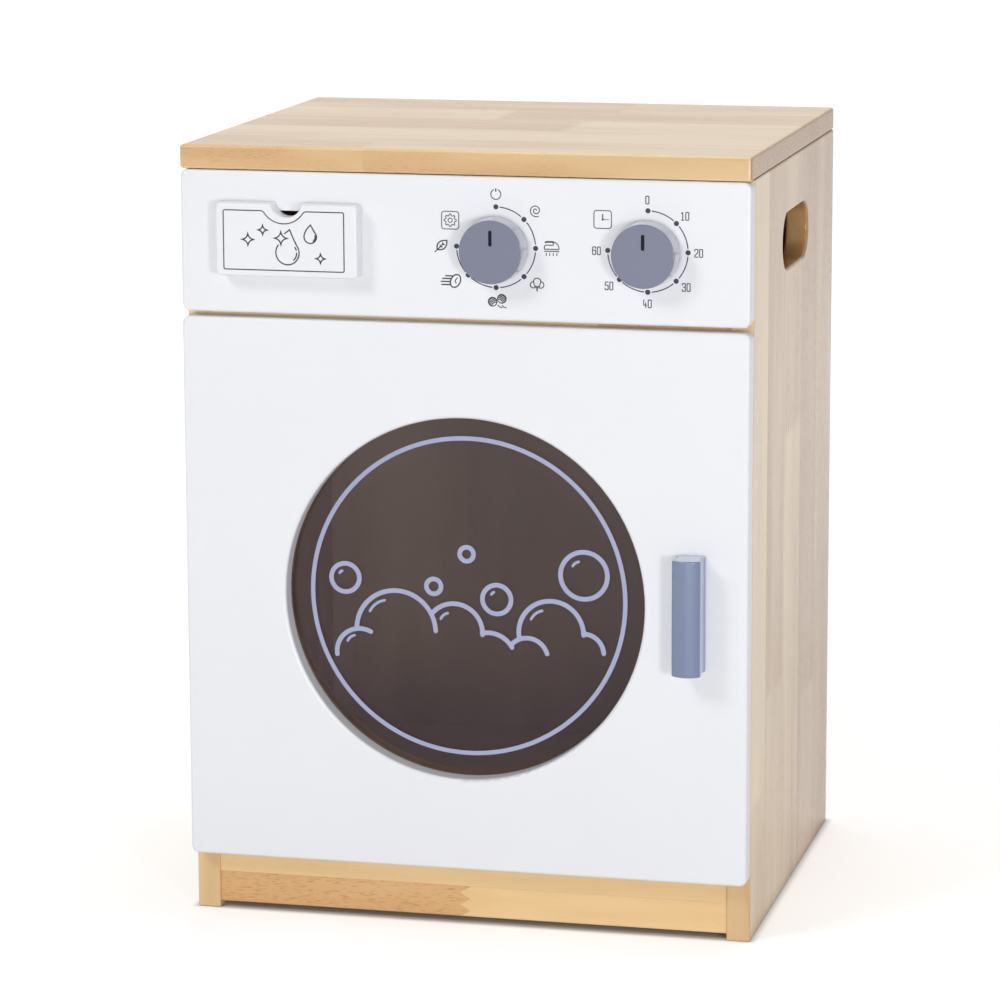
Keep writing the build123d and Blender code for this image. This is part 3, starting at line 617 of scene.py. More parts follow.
@dataclass(frozen=True)
class PlatedSteel(Finish):
    """Plated steel with fine brushed lines."""

    slot: str = "zinc_steel"
    colour: Colour = srgb(196, 198, 202)
    roughness: float = 0.34
    grain: Axis = Axis.Z

    def draw(self, sheet: NodeSheet) -> None:
        """Draws the brushed lines and the plating's clouds."""
        place = sheet.place()
        split = sheet.add("ShaderNodeSeparateXYZ", None, {0: place})
        scales = [120.0 if axis is self.grain else 5200.0 for axis in Axis]
        parts = [split.out(axis.name) * scale for axis, scale in zip(Axis, scales)]
        lines = sheet.noise(sheet.point(*parts), 1.0, 2.0)
        clouds = sheet.noise(place, 260.0, 3.0)
        tone = 0.94 + (clouds - 0.5) * 0.16
        colour = sheet.mix(1.0, self.colour, sheet.point(tone, tone, tone), "MULTIPLY")
        sheet.surface(
            {
                "Base Color": colour,
                "Metallic": 1.0,
                "Roughness": self.roughness + (lines - 0.5) * 0.22 + (clouds - 0.5) * 0.1,
                "Normal": sheet.bump(lines, 0.00001, 0.6),
            }
        )


@dataclass(frozen=True)
class PressedFelt(Finish):
    """Pressed grey felt with loose fibres."""

    slot: str = "felt"
    colour: Colour = srgb(120, 122, 128)

    def draw(self, sheet: NodeSheet) -> None:
        """Draws the fibres."""
        place = sheet.place()
        tufts = sheet.noise(place, 1800.0, 4.0)
        clouds = sheet.noise(place, 220.0, 2.0)
        tone = 0.8 + (tufts - 0.5) * 0.7 + (clouds - 0.5) * 0.3
        colour = sheet.mix(1.0, self.colour, sheet.point(tone, tone, tone), "MULTIPLY")
        sheet.surface(
            {
                "Base Color": colour,
                "Roughness": 0.95,
                "Normal": sheet.bump(tufts, 0.00025, 0.8),
            }
        )


@dataclass(frozen=True)
class PlywoodSheet(Finish):
    """Thin birch-faced plywood: one wide veneer with long soft figure."""

    slot: str = "back_board"
    grain: Axis = Axis.Z
    pale: Colour = srgb(226, 201, 164)
    dark: Colour = srgb(203, 170, 128)
    seed: float = 0.0

    def draw(self, sheet: NodeSheet) -> None:
        """Draws the veneer's figure and fibres."""
        split = sheet.add("ShaderNodeSeparateXYZ", None, {0: sheet.place()})
        wide = [1.6 if axis is self.grain else 13.0 for axis in Axis]
        fine = [22.0 if axis is self.grain else 640.0 for axis in Axis]
        parts = [split.out(axis.name) for axis in Axis]
        figure_place = sheet.point(*(p * s + self.seed for p, s in zip(parts, wide)))
        figure = sheet.noise(figure_place, 1.0, 4.0)
        rings = (figure * 9.0).zigzag(1.0)
        fibres = sheet.noise(sheet.point(*(p * s for p, s in zip(parts, fine))), 1.0, 3.0)
        share = rings * 0.45 + fibres * 0.45
        sheet.surface(
            {
                "Base Color": sheet.mix(share, self.pale, self.dark),
                "Roughness": 0.58 + (fibres - 0.5) * 0.1,
                "Normal": sheet.bump(fibres, 0.00005, 0.5),
            }
        )


def dress(node: str, finish: Finish) -> None:
    """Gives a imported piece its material.

    Args:
        node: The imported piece's name.
        finish: Its finish.
    """
    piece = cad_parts[node]
    if not piece.material_slots:
        piece.data.materials.append(finish.material())
    for place in piece.material_slots:
        place.material = finish.material()
    log.info("%s: %s", node, finish.name)


# ------------------------------------------------------------------ drawing helpers


def arc(x: float, z: float, radius: float, start: float, end: float) -> list[Point]:
    """Points along a round stretch, both ends included.

    Args:
        x: The centre's place to the right.
        z: The centre's height.
        radius: The radius.
        start: The first angle in degrees, from +X towards +Z.
        end: The last angle, which may be below start.

    Returns:
        The points, close enough that the chords look round.
    """
    flatness = 0.01
    widest = math.degrees(2 * math.acos(1 - flatness / max(radius, 4 * flatness)))
    steps = max(2, math.ceil(abs(end - start) / widest))
    angles = [math.radians(start + (end - start) * i / steps) for i in range(steps + 1)]
    return [(x + radius * math.cos(a), z + radius * math.sin(a)) for a in angles]


def circle(x: float, z: float, radius: float) -> list[Point]:
    """Points round a circle, with no point repeated."""
    return arc(x, z, radius, 0.0, FULL_TURN)[:-1]


def oval(x: float, z: float, half_width: float, half_height: float, lean: float) -> list[Point]:
    """Points round an ellipse that leans to the right.

    Args:
        x: The centre's place to the right.
        z: The centre's height.
        half_width: Half of its width before it leans.
        half_height: Half of its height before it leans.
        lean: How far it leans, in degrees.

    Returns:
        The points, with none repeated.
    """
    turn = -math.radians(lean)
    points = []
    for px, pz in circle(0.0, 0.0, 1.0):
        wide, tall = px * half_width, pz * half_height
        points.append(
            (
                x + wide * math.cos(turn) - tall * math.sin(turn),
                z + wide * math.sin(turn) + tall * math.cos(turn),
            )
        )
    return points


def bend(first: Point, pull: Point, last: Point, steps: int = 6) -> list[Point]:
    """Points along a curve that leaves one point and reaches another.

    Args:
        first: Where it starts.
        pull: The corner that it is drawn towards.
        last: Where it ends.
        steps: How many chords it has.

    Returns:
        The points, both ends included.
    """
    path = []
    for step in range(steps + 1):
        t = step / steps
        shares = ((1 - t) ** 2, 2 * t * (1 - t), t**2)
        ends = (first, pull, last)
        path.append(tuple(sum(w * end[i] for w, end in zip(shares, ends)) for i in (0, 1)))
    return path


def rounded(points: list[Point], radius: float, closed: bool = False) -> list[Point]:
    """A path of straight runs with its corners rounded.

    Args:
        points: The corners.
        radius: How far from each corner its round starts.
        closed: Whether the last corner joins the first.

    Returns:
        The rounded path.
    """
    count = len(points)
    path: list[Point] = []
    for i, corner in enumerate(points):
        if not closed and i in (0, count - 1):
            path.append(corner)
            continue
        here = Vector(corner)
        back = Vector(points[i - 1]) - here
        ahead = Vector(points[(i + 1) % count]) - here
        reach = min(radius, back.length * 0.49, ahead.length * 0.49)
        first = here + back.normalized() * reach
        last = here + ahead.normalized() * reach
        path.extend(bend(first, corner, last))
    return path


def rounded_box(width: float, height: float, radius: float) -> list[Point]:
    """A rectangle about its own middle with rounded corners."""
    x, z = width / 2, height / 2
    return rounded([(-x, z), (-x, -z), (x, -z), (x, z)], radius, closed=True)


def spiral(first_radius: float, last_radius: float, start: float, end: float) -> list[Point]:
    """Points along a spiral about its own middle.

    Args:
        first_radius: The radius at its start.
        last_radius: The radius at its end.
        start: The first angle in degrees.
        end: The last angle, turns included.

    Returns:
        The points.
    """
    steps = math.ceil(abs(end - start) / 12.0)
    points = []
    for i in range(steps + 1):
        radius = first_radius + (last_radius - first_radius) * i / steps
        angle = math.radians(start + (end - start) * i / steps)
        points.append((radius * math.cos(angle), radius * math.sin(angle)))
    return points


@dataclass(frozen=True)
class Mark:
    """One line or filled shape of a print, in millimetres about the print's middle."""

    path: list[Point]
    width: float = 0.0
    closed: bool = False


def shifted(path: list[Point], x: float, z: float, scale: float = 1.0) -> list[Point]:
    """The path scaled about its origin and moved."""
    return [(x + px * scale, z + pz * scale) for px, pz in path]


def turned(marks: list[Mark], turn: float, x: float, z: float) -> list[Mark]:
    """The marks turned about their origin, by degrees to the left, and moved."""
    cos, sin = math.cos(math.radians(turn)), math.sin(math.radians(turn))
    return [
        Mark(
            [(x + px * cos - pz * sin, z + px * sin + pz * cos) for px, pz in mark.path],
            mark.width,
            mark.closed,
        )
        for mark in marks
    ]


class InkDrawing:
    """Thin raised strokes and fills on an upright face that looks to the front.

    Drawings are in millimetres. Each shape stands a hair higher than the one before, so that
    shapes which cross never share a face.
    """

    def __init__(self, face_y: float, film: float = 0.05) -> None:
        """Starts an empty drawing.

        Args:
            face_y: The printed face's place in depth, in metres.
            film: The ink's thickness, in millimetres.
        """
        self.face_y = face_y
        self.film = film
        self.sunk = 0.02
        self.rise = 0.0008
        self.shapes = 0
        self.mesh = bmesh.new()

    def _raise(self, faces: list[list[Point]], rims: list[list[Point]]) -> None:
        """Adds one closed shape: its front faces, the same faces behind, and its rims."""
        front = self.face_y - (self.film + self.rise * self.shapes) * MM
        back = self.face_y + self.sunk * MM
        self.shapes += 1
        made: dict[tuple[Point, float], bmesh.types.BMVert] = {}

        def spot(point: Point, y: float) -> bmesh.types.BMVert:
            """The vertex at a point of the drawing, made once."""
            key = (point, y)
            if key not in made:
                made[key] = self.mesh.verts.new((point[0] * MM, y, point[1] * MM))
            return made[key]

        for face in faces:
            self.mesh.faces.new([spot(p, front) for p in face])
            self.mesh.faces.new([spot(p, back) for p in reversed(face)])
        for rim in rims:
            for first, last in zip(rim, rim[1:] + rim[:1]):
                corners = [(first, front), (first, back), (last, back), (last, front)]
                self.mesh.faces.new([spot(p, y) for p, y in corners])

    def lay(self, marks: list[Mark], x: float, z: float, scale: float = 1.0) -> None:
        """Lays marks on the face.

        Args:
            marks: The marks. A mark with no width is filled.
            x: Where their middle goes, to the right.
            z: Its height.
            scale: How many times larger they get.
        """
        for mark in marks:
            path = shifted(mark.path, x, z, scale)
            if mark.width:
                self.stroke(path, mark.width * scale, mark.closed)
            else:
                self.fill(path)

    def fill(self, outline: list[Point]) -> None:
        """Adds a filled shape."""
        self._raise([outline], [outline])

    def stroke(self, path: list[Point], width: float, closed: bool = False) -> None:
        """Adds a line of even width with round ends.

        Args:
            path: The line's middle.
            width: Its width.
            closed: Whether it runs back to its start.
        """
        half = width / 2
        count = len(path)
        left: list[Point] = []
        right: list[Point] = []
        for i in range(count):
            here = Vector(path[i])
            back = Vector(path[i - 1]) if closed or i > 0 else None
            ahead = Vector(path[(i + 1) % count]) if closed or i < count - 1 else None
            first = (here - back).normalized() if back is not None else None
            last = (ahead - here).normalized() if ahead is not None else None
            first, last = first or last, last or first
            middle = (first + last).normalized()
            normal = Vector((-middle.y, middle.x))
            reach = half / max(0.4, middle.dot(first))
            left.append(tuple(here + normal * reach))
            right.append(tuple(here - normal * reach))
        faces = []
        runs = range(count) if closed else range(count - 1)
        for i in runs:
            after = (i + 1) % count
            faces.append([right[i], right[after], left[after], left[i]])
        if closed:
            self._raise(faces, [right, left[::-1]])
            return
        start_cap = self._cap(path[0], left[0], right[0])
        end_cap = self._cap(path[-1], right[-1], left[-1])
        faces.append([right[0], left[0], *start_cap])
        faces.append([left[-1], right[-1], *end_cap])
        self._raise(faces, [[*right, *end_cap, *left[::-1], *start_cap]])

    def _cap(self, middle: Point, first: Point, last: Point) -> list[Point]:
        """The points strictly inside the half circle from first to last round middle."""
        radius = math.dist(middle, first)
        start = math.degrees(math.atan2(first[1] - middle[1], first[0] - middle[0]))
        return arc(middle[0], middle[1], radius, start, start + 180.0)[1:-1]

    def finish(self, name: str, ink: PrintInk, body: str) -> bpy.types.Object:
        """Makes the drawing a piece that rides on a body.

        Args:
            name: The piece's name.
            ink: Its finish.
            body: The body that it moves with.

        Returns:
            The piece.
        """
        bmesh.ops.recalc_face_normals(self.mesh, faces=self.mesh.faces)
        data = bpy.data.meshes.new(name)
        self.mesh.to_mesh(data)
        self.mesh.free()
        data.materials.append(ink.material())
        piece = bpy.data.objects.new(name, data)
        bpy.context.scene.collection.objects.link(piece)
        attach(piece, body)
        log.info("%s: %d shapes on %s", name, self.shapes, body)
        return piece


DARK_INK = PrintInk("dark_print_ink")
BUBBLE_INK = PrintInk("periwinkle_print_ink", slot="grey_paint", colour=srgb(165, 172, 204))
FINE_INK = PrintInk("fine_print_ink", colour=srgb(84, 87, 92))
MARK_INK = PrintInk("index_mark_ink", colour=srgb(26, 26, 38), shine=0.1)
WHITE_PAINT = SatinPaint("white_satin_paint")
KNOB_PAINT = SatinPaint(
    "grey_blue_knob_paint",
    slot="grey_paint",
    colour=srgb(106, 110, 133),
    # Painted light: the knob's sides are painted lighter than its face.
    rim=srgb(178, 181, 197),
    roughness=0.22,
    coat=1.0,
    speckle=0.14,
)
HANDLE_PAINT = SatinPaint(
    "grey_blue_handle_paint",
    slot="grey_paint",
    colour=srgb(108, 123, 155),
    # Painted light: the handle's sides and ends are painted lighter than its front.
    rim=srgb(184, 193, 217),
    roughness=0.22,
    coat=1.0,
    speckle=0.14,
    grain=Axis.Z,
)
STEEL = PlatedSteel("zinc_plated_steel")
SCREW_STEEL = PlatedSteel("zinc_plated_screw_steel", colour=srgb(206, 200, 178), roughness=0.3)


# ------------------------------------------------------------------ cabinet


@dataclass
class Cabinet:
    """The glued boards, their fasteners and the drawer's guides."""

    stave_width: float = 0.0622
    narrow_stave: float = 0.045
    plinth_stave: float = 0.0205
    # Painted shade: the side panels' ruddy colour is darker than the other boards' to stand in for
    # the lower light on the sides.
    side_pale: Colour = srgb(239, 209, 160)
    side_ruddy: Colour = srgb(184, 137, 88)
    side_figure: float = 0.6
    side_shine: float = 0.32
    # Painted light: the compartment floor is paler than the other boards, standing in for the
    # light on it seen through the window.
    floor_pale: Colour = srgb(250, 228, 188)
    floor_ruddy: Colour = srgb(238, 203, 158)
    warm_pale: Colour = srgb(240, 207, 154)
    warm_ruddy: Colour = srgb(217, 170, 114)
    worktop_staves: tuple[Stave, ...] = (
        Stave(-0.061, 0.52, 0.42),
        Stave(0.105, 0.12, 0.22),
        Stave(0.040, 0.78, 0.18),
        Stave(-0.020, 0.15, 0.72),
        Stave(0.050, 0.66, 0.55),
    )
    # Partly the wood's own staves, partly painted shade: the heartwood share rises towards the
    # rear, so the sides darken towards the back as the light on them falls off.
    side_staves: tuple[Stave, ...] = (
        Stave(0.090, 0.24, 0.02),
        Stave(0.150, 0.48, 0.60),
        Stave(0.310, 0.46, 0.54),
        Stave(0.120, 0.72, 0.92),
        Stave(0.200, 0.86, 0.76),
    )
    plinth_staves: tuple[Stave, ...] = (
        Stave(0.000, 0.80, 0.38),
        Stave(-0.124, 0.05, 0.25),
    )
    fasteners: tuple[str, ...] = (
        "back_panel_screws",
        "cleat_front_screws",
        "cleat_side_screws",
        "guide_base_screws",
        "guide_block_screws",
    )
    dowels: tuple[str, ...] = (
        "worktop_dowels",
        "floor_dowels",
        "divider_dowels",
        "plinth_dowels",
    )
    hinge_steel: tuple[str, ...] = (
        "hinge_upper_cabinet_leaf",
        "hinge_lower_cabinet_leaf",
        "hinge_pins",
        "hinge_cabinet_screws",
    )

    def build(self) -> None:
        """Dresses every piece of the cabinet."""
        self.dress_shell()
        self.dress_inside()
        self.dress_fasteners()

    def dress_shell(self) -> None:
        """Dresses the boards that show from outside."""
        front_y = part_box("worktop")[0].y
        worktop = Rubberwood(
            "worktop_wood", stave_start=front_y, staves=self.worktop_staves, seed=3.0
        )
        dress("worktop", worktop)
        for side, seed in (("left", 11.0), ("right", 17.0)):
            wood = Rubberwood(
                f"side_{side}_wood",
                grain=Axis.Z,
                stave_width=self.stave_width,
                stave_start=front_y,
                staves=self.side_staves,
                seed=seed,
                pale=self.side_pale,
                ruddy=self.side_ruddy,
                figure_strength=self.side_figure,
                shine=self.side_shine,
            )
            dress(f"side_panel_{side}", wood)
        plinth = Rubberwood(
            "plinth_wood",
            across=Axis.Z,
            stave_width=self.plinth_stave,
            stave_start=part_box("plinth")[0].z,
            staves=self.plinth_staves,
            seed=29.0,
            pale=self.warm_pale,
            ruddy=self.warm_ruddy,
            pore_strength=0.42,
        )
        dress("plinth", plinth)
        dress("control_panel", WHITE_PAINT)
        dress("back_panel", PlywoodSheet("back_plywood"))

    def dress_inside(self) -> None:
        """Dresses the boards and blocks inside."""
        for board, seed in (("divider_shelf", 41.0), ("guide_base", 43.0)):
            dress(board, Rubberwood(f"{board}_wood", seed=seed))
        floor_wood = Rubberwood(
            "floor_board_wood", seed=37.0, pale=self.floor_pale, ruddy=self.floor_ruddy
        )
        dress("floor_board", floor_wood)
        for side, seed in (("left", 47.0), ("right", 53.0)):
            cleat = Rubberwood(
                f"cleat_{side}_wood", grain=Axis.Z, stave_width=self.narrow_stave, seed=seed
            )
            dress(f"panel_cleat_{side}", cleat)
            rail = Rubberwood(
                f"rail_{side}_wood",
                grain=Axis.Y,
                across=Axis.Z,
                stave_width=self.narrow_stave,
                seed=seed + 2.0,
            )
            dress(f"guide_rail_{side}", rail)
        dress("guide_block", Rubberwood("guide_block_wood", seed=59.0))
        dress("knob_felt_washers", PressedFelt("grey_felt"))

    def dress_fasteners(self) -> None:
        """Dresses the dowels, screws, hinges and magnets."""
        beech = Rubberwood("dowel_beech", seed=61.0, stave_width=self.stave_width)
        for node in self.dowels:
            dress(node, beech)
        for node in self.fasteners:
            dress(node, SCREW_STEEL)
        for node in self.hinge_steel:
            dress(node, STEEL)
        nickel = PlatedSteel(
            "nickel_plate", slot="nickel_magnet", colour=srgb(214, 208, 196), roughness=0.22
        )
        dress("catch_magnets", nickel)


# ------------------------------------------------------------------ door


@dataclass
class Door:
    """The painted door with its smoked window, its ring, its handle and the window's print."""

    ring_radius: float = 101.9
    ring_line: float = 2.8
    bubble_line: float = 3.0
    highlight_line: float = 1.7
    bubbles: tuple[tuple[float, float, float], ...] = (
        (-80.4, 8.8, 9.2),
        (-22.3, 5.7, 4.8),
        (-0.7, 27.5, 4.5),
        (18.8, -0.9, 9.3),
        (75.3, 17.1, 15.1),
    )
    foam: tuple[tuple[float, float, float, float, float], ...] = (
        (-71.0, -39.5, 15.4, 187.0, 62.8),
        (-47.2, -24.2, 26.0, 178.0, 2.2),
        (-9.0, -23.4, 18.5, 143.7, -2.5),
        (13.5, -40.2, 17.5, 104.4, 30.0),
        (38.6, -38.3, 13.4, 143.2, 16.6),
        (54.1, -21.3, 21.0, 192.0, 0.0),
        (75.3, -33.2, 12.8, 88.7, 3.0),
    )
    highlights: tuple[tuple[float, float, float, float], ...] = (
        (-79.3, -32.4, -74.8, -28.7),
        (-64.4, -12.3, -54.7, -4.9),
        (-17.7, -15.0, -13.3, -11.3),
        (41.2, -12.5, 48.3, -6.8),
        (-84.1, 11.7, -82.5, 13.0),
        (15.4, 2.3, 16.9, 3.7),
        (68.1, 23.0, 71.9, 25.9),
    )
    highlight_bulge: float = 0.12
    steel: tuple[str, ...] = (
        "hinge_upper_door_leaf",
        "hinge_lower_door_leaf",
        "hinge_door_screws",
        "catch_strikes",
    )
    screws: tuple[str, ...] = ("window_ring_screws", "handle_screws", "catch_strike_screws")

    def build(self) -> None:
        """Dresses the door's pieces and prints the window."""
        dress("door_board", WHITE_PAINT)
        dress("window_pane", SmokedAcrylic("smoked_acrylic"))
        dress("window_ring", Rubberwood("window_ring_wood", across=Axis.Z, seed=67.0))
        dress("handle", HANDLE_PAINT)
        for node in self.steel:
            dress(node, STEEL)
        for node in self.screws:
            dress(node, SCREW_STEEL)
        self.print_window()

    def print_window(self) -> None:
        """Prints the ring, the bubbles and the foam on the pane's front."""
        low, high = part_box("window_pane")
        middle_x = (low.x + high.x) / 2 / MM
        middle_z = (low.z + high.z) / 2 / MM
        ring = InkDrawing(low.y)
        ring.stroke(circle(middle_x, middle_z, self.ring_radius), self.ring_line, closed=True)
        ring.finish("window_print_ring", BUBBLE_INK, "door")
        bubbles = InkDrawing(low.y)
        for x, z, radius in self.bubbles:
            path = circle(middle_x + x, middle_z + z, radius)
            bubbles.stroke(path, self.bubble_line, closed=True)
        bubbles.finish("window_print_bubbles", BUBBLE_INK, "door")
        foam = InkDrawing(low.y)
        for x, z, radius, start, end in self.foam:
            foam.stroke(arc(middle_x + x, middle_z + z, radius, start, end), self.bubble_line)
        foam.finish("window_print_foam", BUBBLE_INK, "door")
        shine = InkDrawing(low.y)
        for highlight in self.highlights:
            path = self.curved_line(*highlight)
            shine.stroke(shifted(path, middle_x, middle_z), self.highlight_line)
        shine.finish("window_print_highlights", BUBBLE_INK, "door")

    def curved_line(self, x1: float, z1: float, x2: float, z2: float) -> list[Point]:
        """A short line that bulges up and to the left, as a highlight on a bubble does.

        Args:
            x1: The first end's place to the right.
            z1: The first end's height.
            x2: The last end's place to the right.
            z2: The last end's height.

        Returns:
            The line's points.
        """
        steps = 8
        points = []
        for i in range(steps + 1):
            t = i / steps
            bulge = 4 * t * (1 - t) * self.highlight_bulge
            x = x1 + (x2 - x1) * t - (z2 - z1) * bulge
            z = z1 + (z2 - z1) * t + (x2 - x1) * bulge
            points.append((x, z))
        return points


# ------------------------------------------------------------------ drawer


@dataclass
class Drawer:
    """The detergent drawer and the print on its front."""

    frame_left: float = -40.6
    frame_right: float = 37.6
    frame_bottom: float = -18.7
    frame_top: float = 18.6
    frame_line: float = 0.72
    frame_corner: float = 1.2
    dip_middle: float = -1.4
    dip_half_width: float = 13.3
    dip_depth: float = 7.9
    dip_round: float = 1.6
    motif_line: float = 0.85
    sparkles: tuple[tuple[float, float, float], ...] = (
        (-24.7, 0.3, 4.0),
        (-15.0, 6.5, 3.2),
        (-3.2, 1.6, 4.4),
        (22.4, -10.6, 3.2),
    )

    def build(self) -> None:
        """Dresses the drawer's pieces and prints its front."""
        dress("drawer_front", WHITE_PAINT)
        for side, seed in (("left", 71.0), ("right", 73.0)):
            wood = Rubberwood(f"drawer_{side}_wood", grain=Axis.Y, across=Axis.Z, seed=seed)
            dress(f"drawer_side_{side}", wood)
        dress("drawer_back", Rubberwood("drawer_back_wood", across=Axis.Z, seed=79.0))
        dress("drawer_bottom", PlywoodSheet("drawer_plywood", grain=Axis.Y, seed=5.0))
        dress("drawer_pins", Rubberwood("drawer_pin_wood", grain=Axis.Y, across=Axis.X, seed=83.0))
        dress("drawer_back_screws", SCREW_STEEL)
        self.print_front()

    def print_front(self) -> None:
        """Prints the outline, the sparkles and the two drops."""
        low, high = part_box("drawer_front")
        x = (low.x + high.x) / 2 / MM
        z = (low.z + high.z) / 2 / MM
        outline = InkDrawing(low.y)
        outline.stroke(shifted(self.outline(), x, z), self.frame_line, closed=True)
        outline.finish("drawer_print_outline", DARK_INK, "drawer")
        motif = InkDrawing(low.y)
        for star_x, star_z, radius in self.sparkles:
            motif.lay([self.sparkle(radius)], x + star_x, z + star_z)
        motif.lay(self.large_drop(), x + 1.0, z - 7.4)
        motif.lay(self.small_drop(), x + 15.9, z + 2.9)
        motif.finish("drawer_print_motif", DARK_INK, "drawer")

    def outline(self) -> list[Point]:
        """The printed frame, which dips round the finger notch."""
        radius = (self.dip_half_width**2 + self.dip_depth**2) / (2 * self.dip_depth)
        centre_z = self.frame_top - self.dip_depth + radius
        half_angle = math.degrees(math.asin(self.dip_half_width / radius))
        start, end = 270.0 + half_angle, 270.0 - half_angle
        trim = math.degrees(self.dip_round / radius)
        dip = arc(self.dip_middle, centre_z, radius, start - trim, end + trim)
        right_end = self.dip_middle + self.dip_half_width
        left_end = self.dip_middle - self.dip_half_width
        right_round = bend((right_end + self.dip_round, self.frame_top),
                           (right_end, self.frame_top), dip[0])
        left_round = bend(dip[-1], (left_end, self.frame_top),
                          (left_end - self.dip_round, self.frame_top))
        corners = [
            (self.frame_left, self.frame_top),
            (self.frame_left, self.frame_bottom),
            (self.frame_right, self.frame_bottom),
            (self.frame_right, self.frame_top),
        ]
        path = rounded(corners, self.frame_corner, closed=True)
        return [*path, *right_round[:-1], *dip, *left_round[1:]]

    def sparkle(self, radius: float) -> Mark:
        """A four-pointed star with hollow sides."""
        waist = 0.1 * radius
        tips = [(0.0, radius), (-radius, 0.0), (0.0, -radius), (radius, 0.0)]
        path: list[Point] = []
        for i, (first, last) in enumerate(zip(tips, tips[1:] + tips[:1])):
            side_x = -waist if i in (0, 1) else waist
            side_z = waist if i in (0, 3) else -waist
            path.extend(bend(first, (side_x, side_z), last)[:-1])
        return Mark(path, self.motif_line, closed=True)

    def large_drop(self) -> list[Mark]:
        """A drop whose outline is broken on the left, with two inner lines."""
        radius, tip = 7.55, (1.6, 14.5)
        bowl = arc(0.0, 0.0, radius, 27.0, -218.0)
        side = bend(tip, (4.3, 7.6), bowl[0])
        shine = [arc(0.0, 0.0, 6.0, *ends) for ends in ((36.0, 17.0), (0.0, -49.0))]
        paths = [[*side[:-1], *bowl], [tip, (-1.7, 12.0)], *shine]
        return [Mark(path, self.motif_line) for path in paths]

    def small_drop(self) -> list[Mark]:
        """A closed drop with one heavy inner line."""
        radius, tip = 4.05, (0.2, 7.5)
        bowl = arc(0.0, 0.0, radius, 22.0, -202.0)
        right = bend(tip, (1.9, 4.4), bowl[0])
        left = bend(bowl[-1], (-3.0, 4.6), tip)
        outline = Mark([*right[:-1], *bowl, *left[1:-1]], self.motif_line, closed=True)
        shade = Mark(arc(0.0, 0.0, 3.35, -8.0, -50.0), 1.2)
        dot = Mark(arc(0.0, 0.0, 3.2, 14.0, 6.0), 0.9)
        return [outline, shade, dot]


# ------------------------------------------------------------------ controls


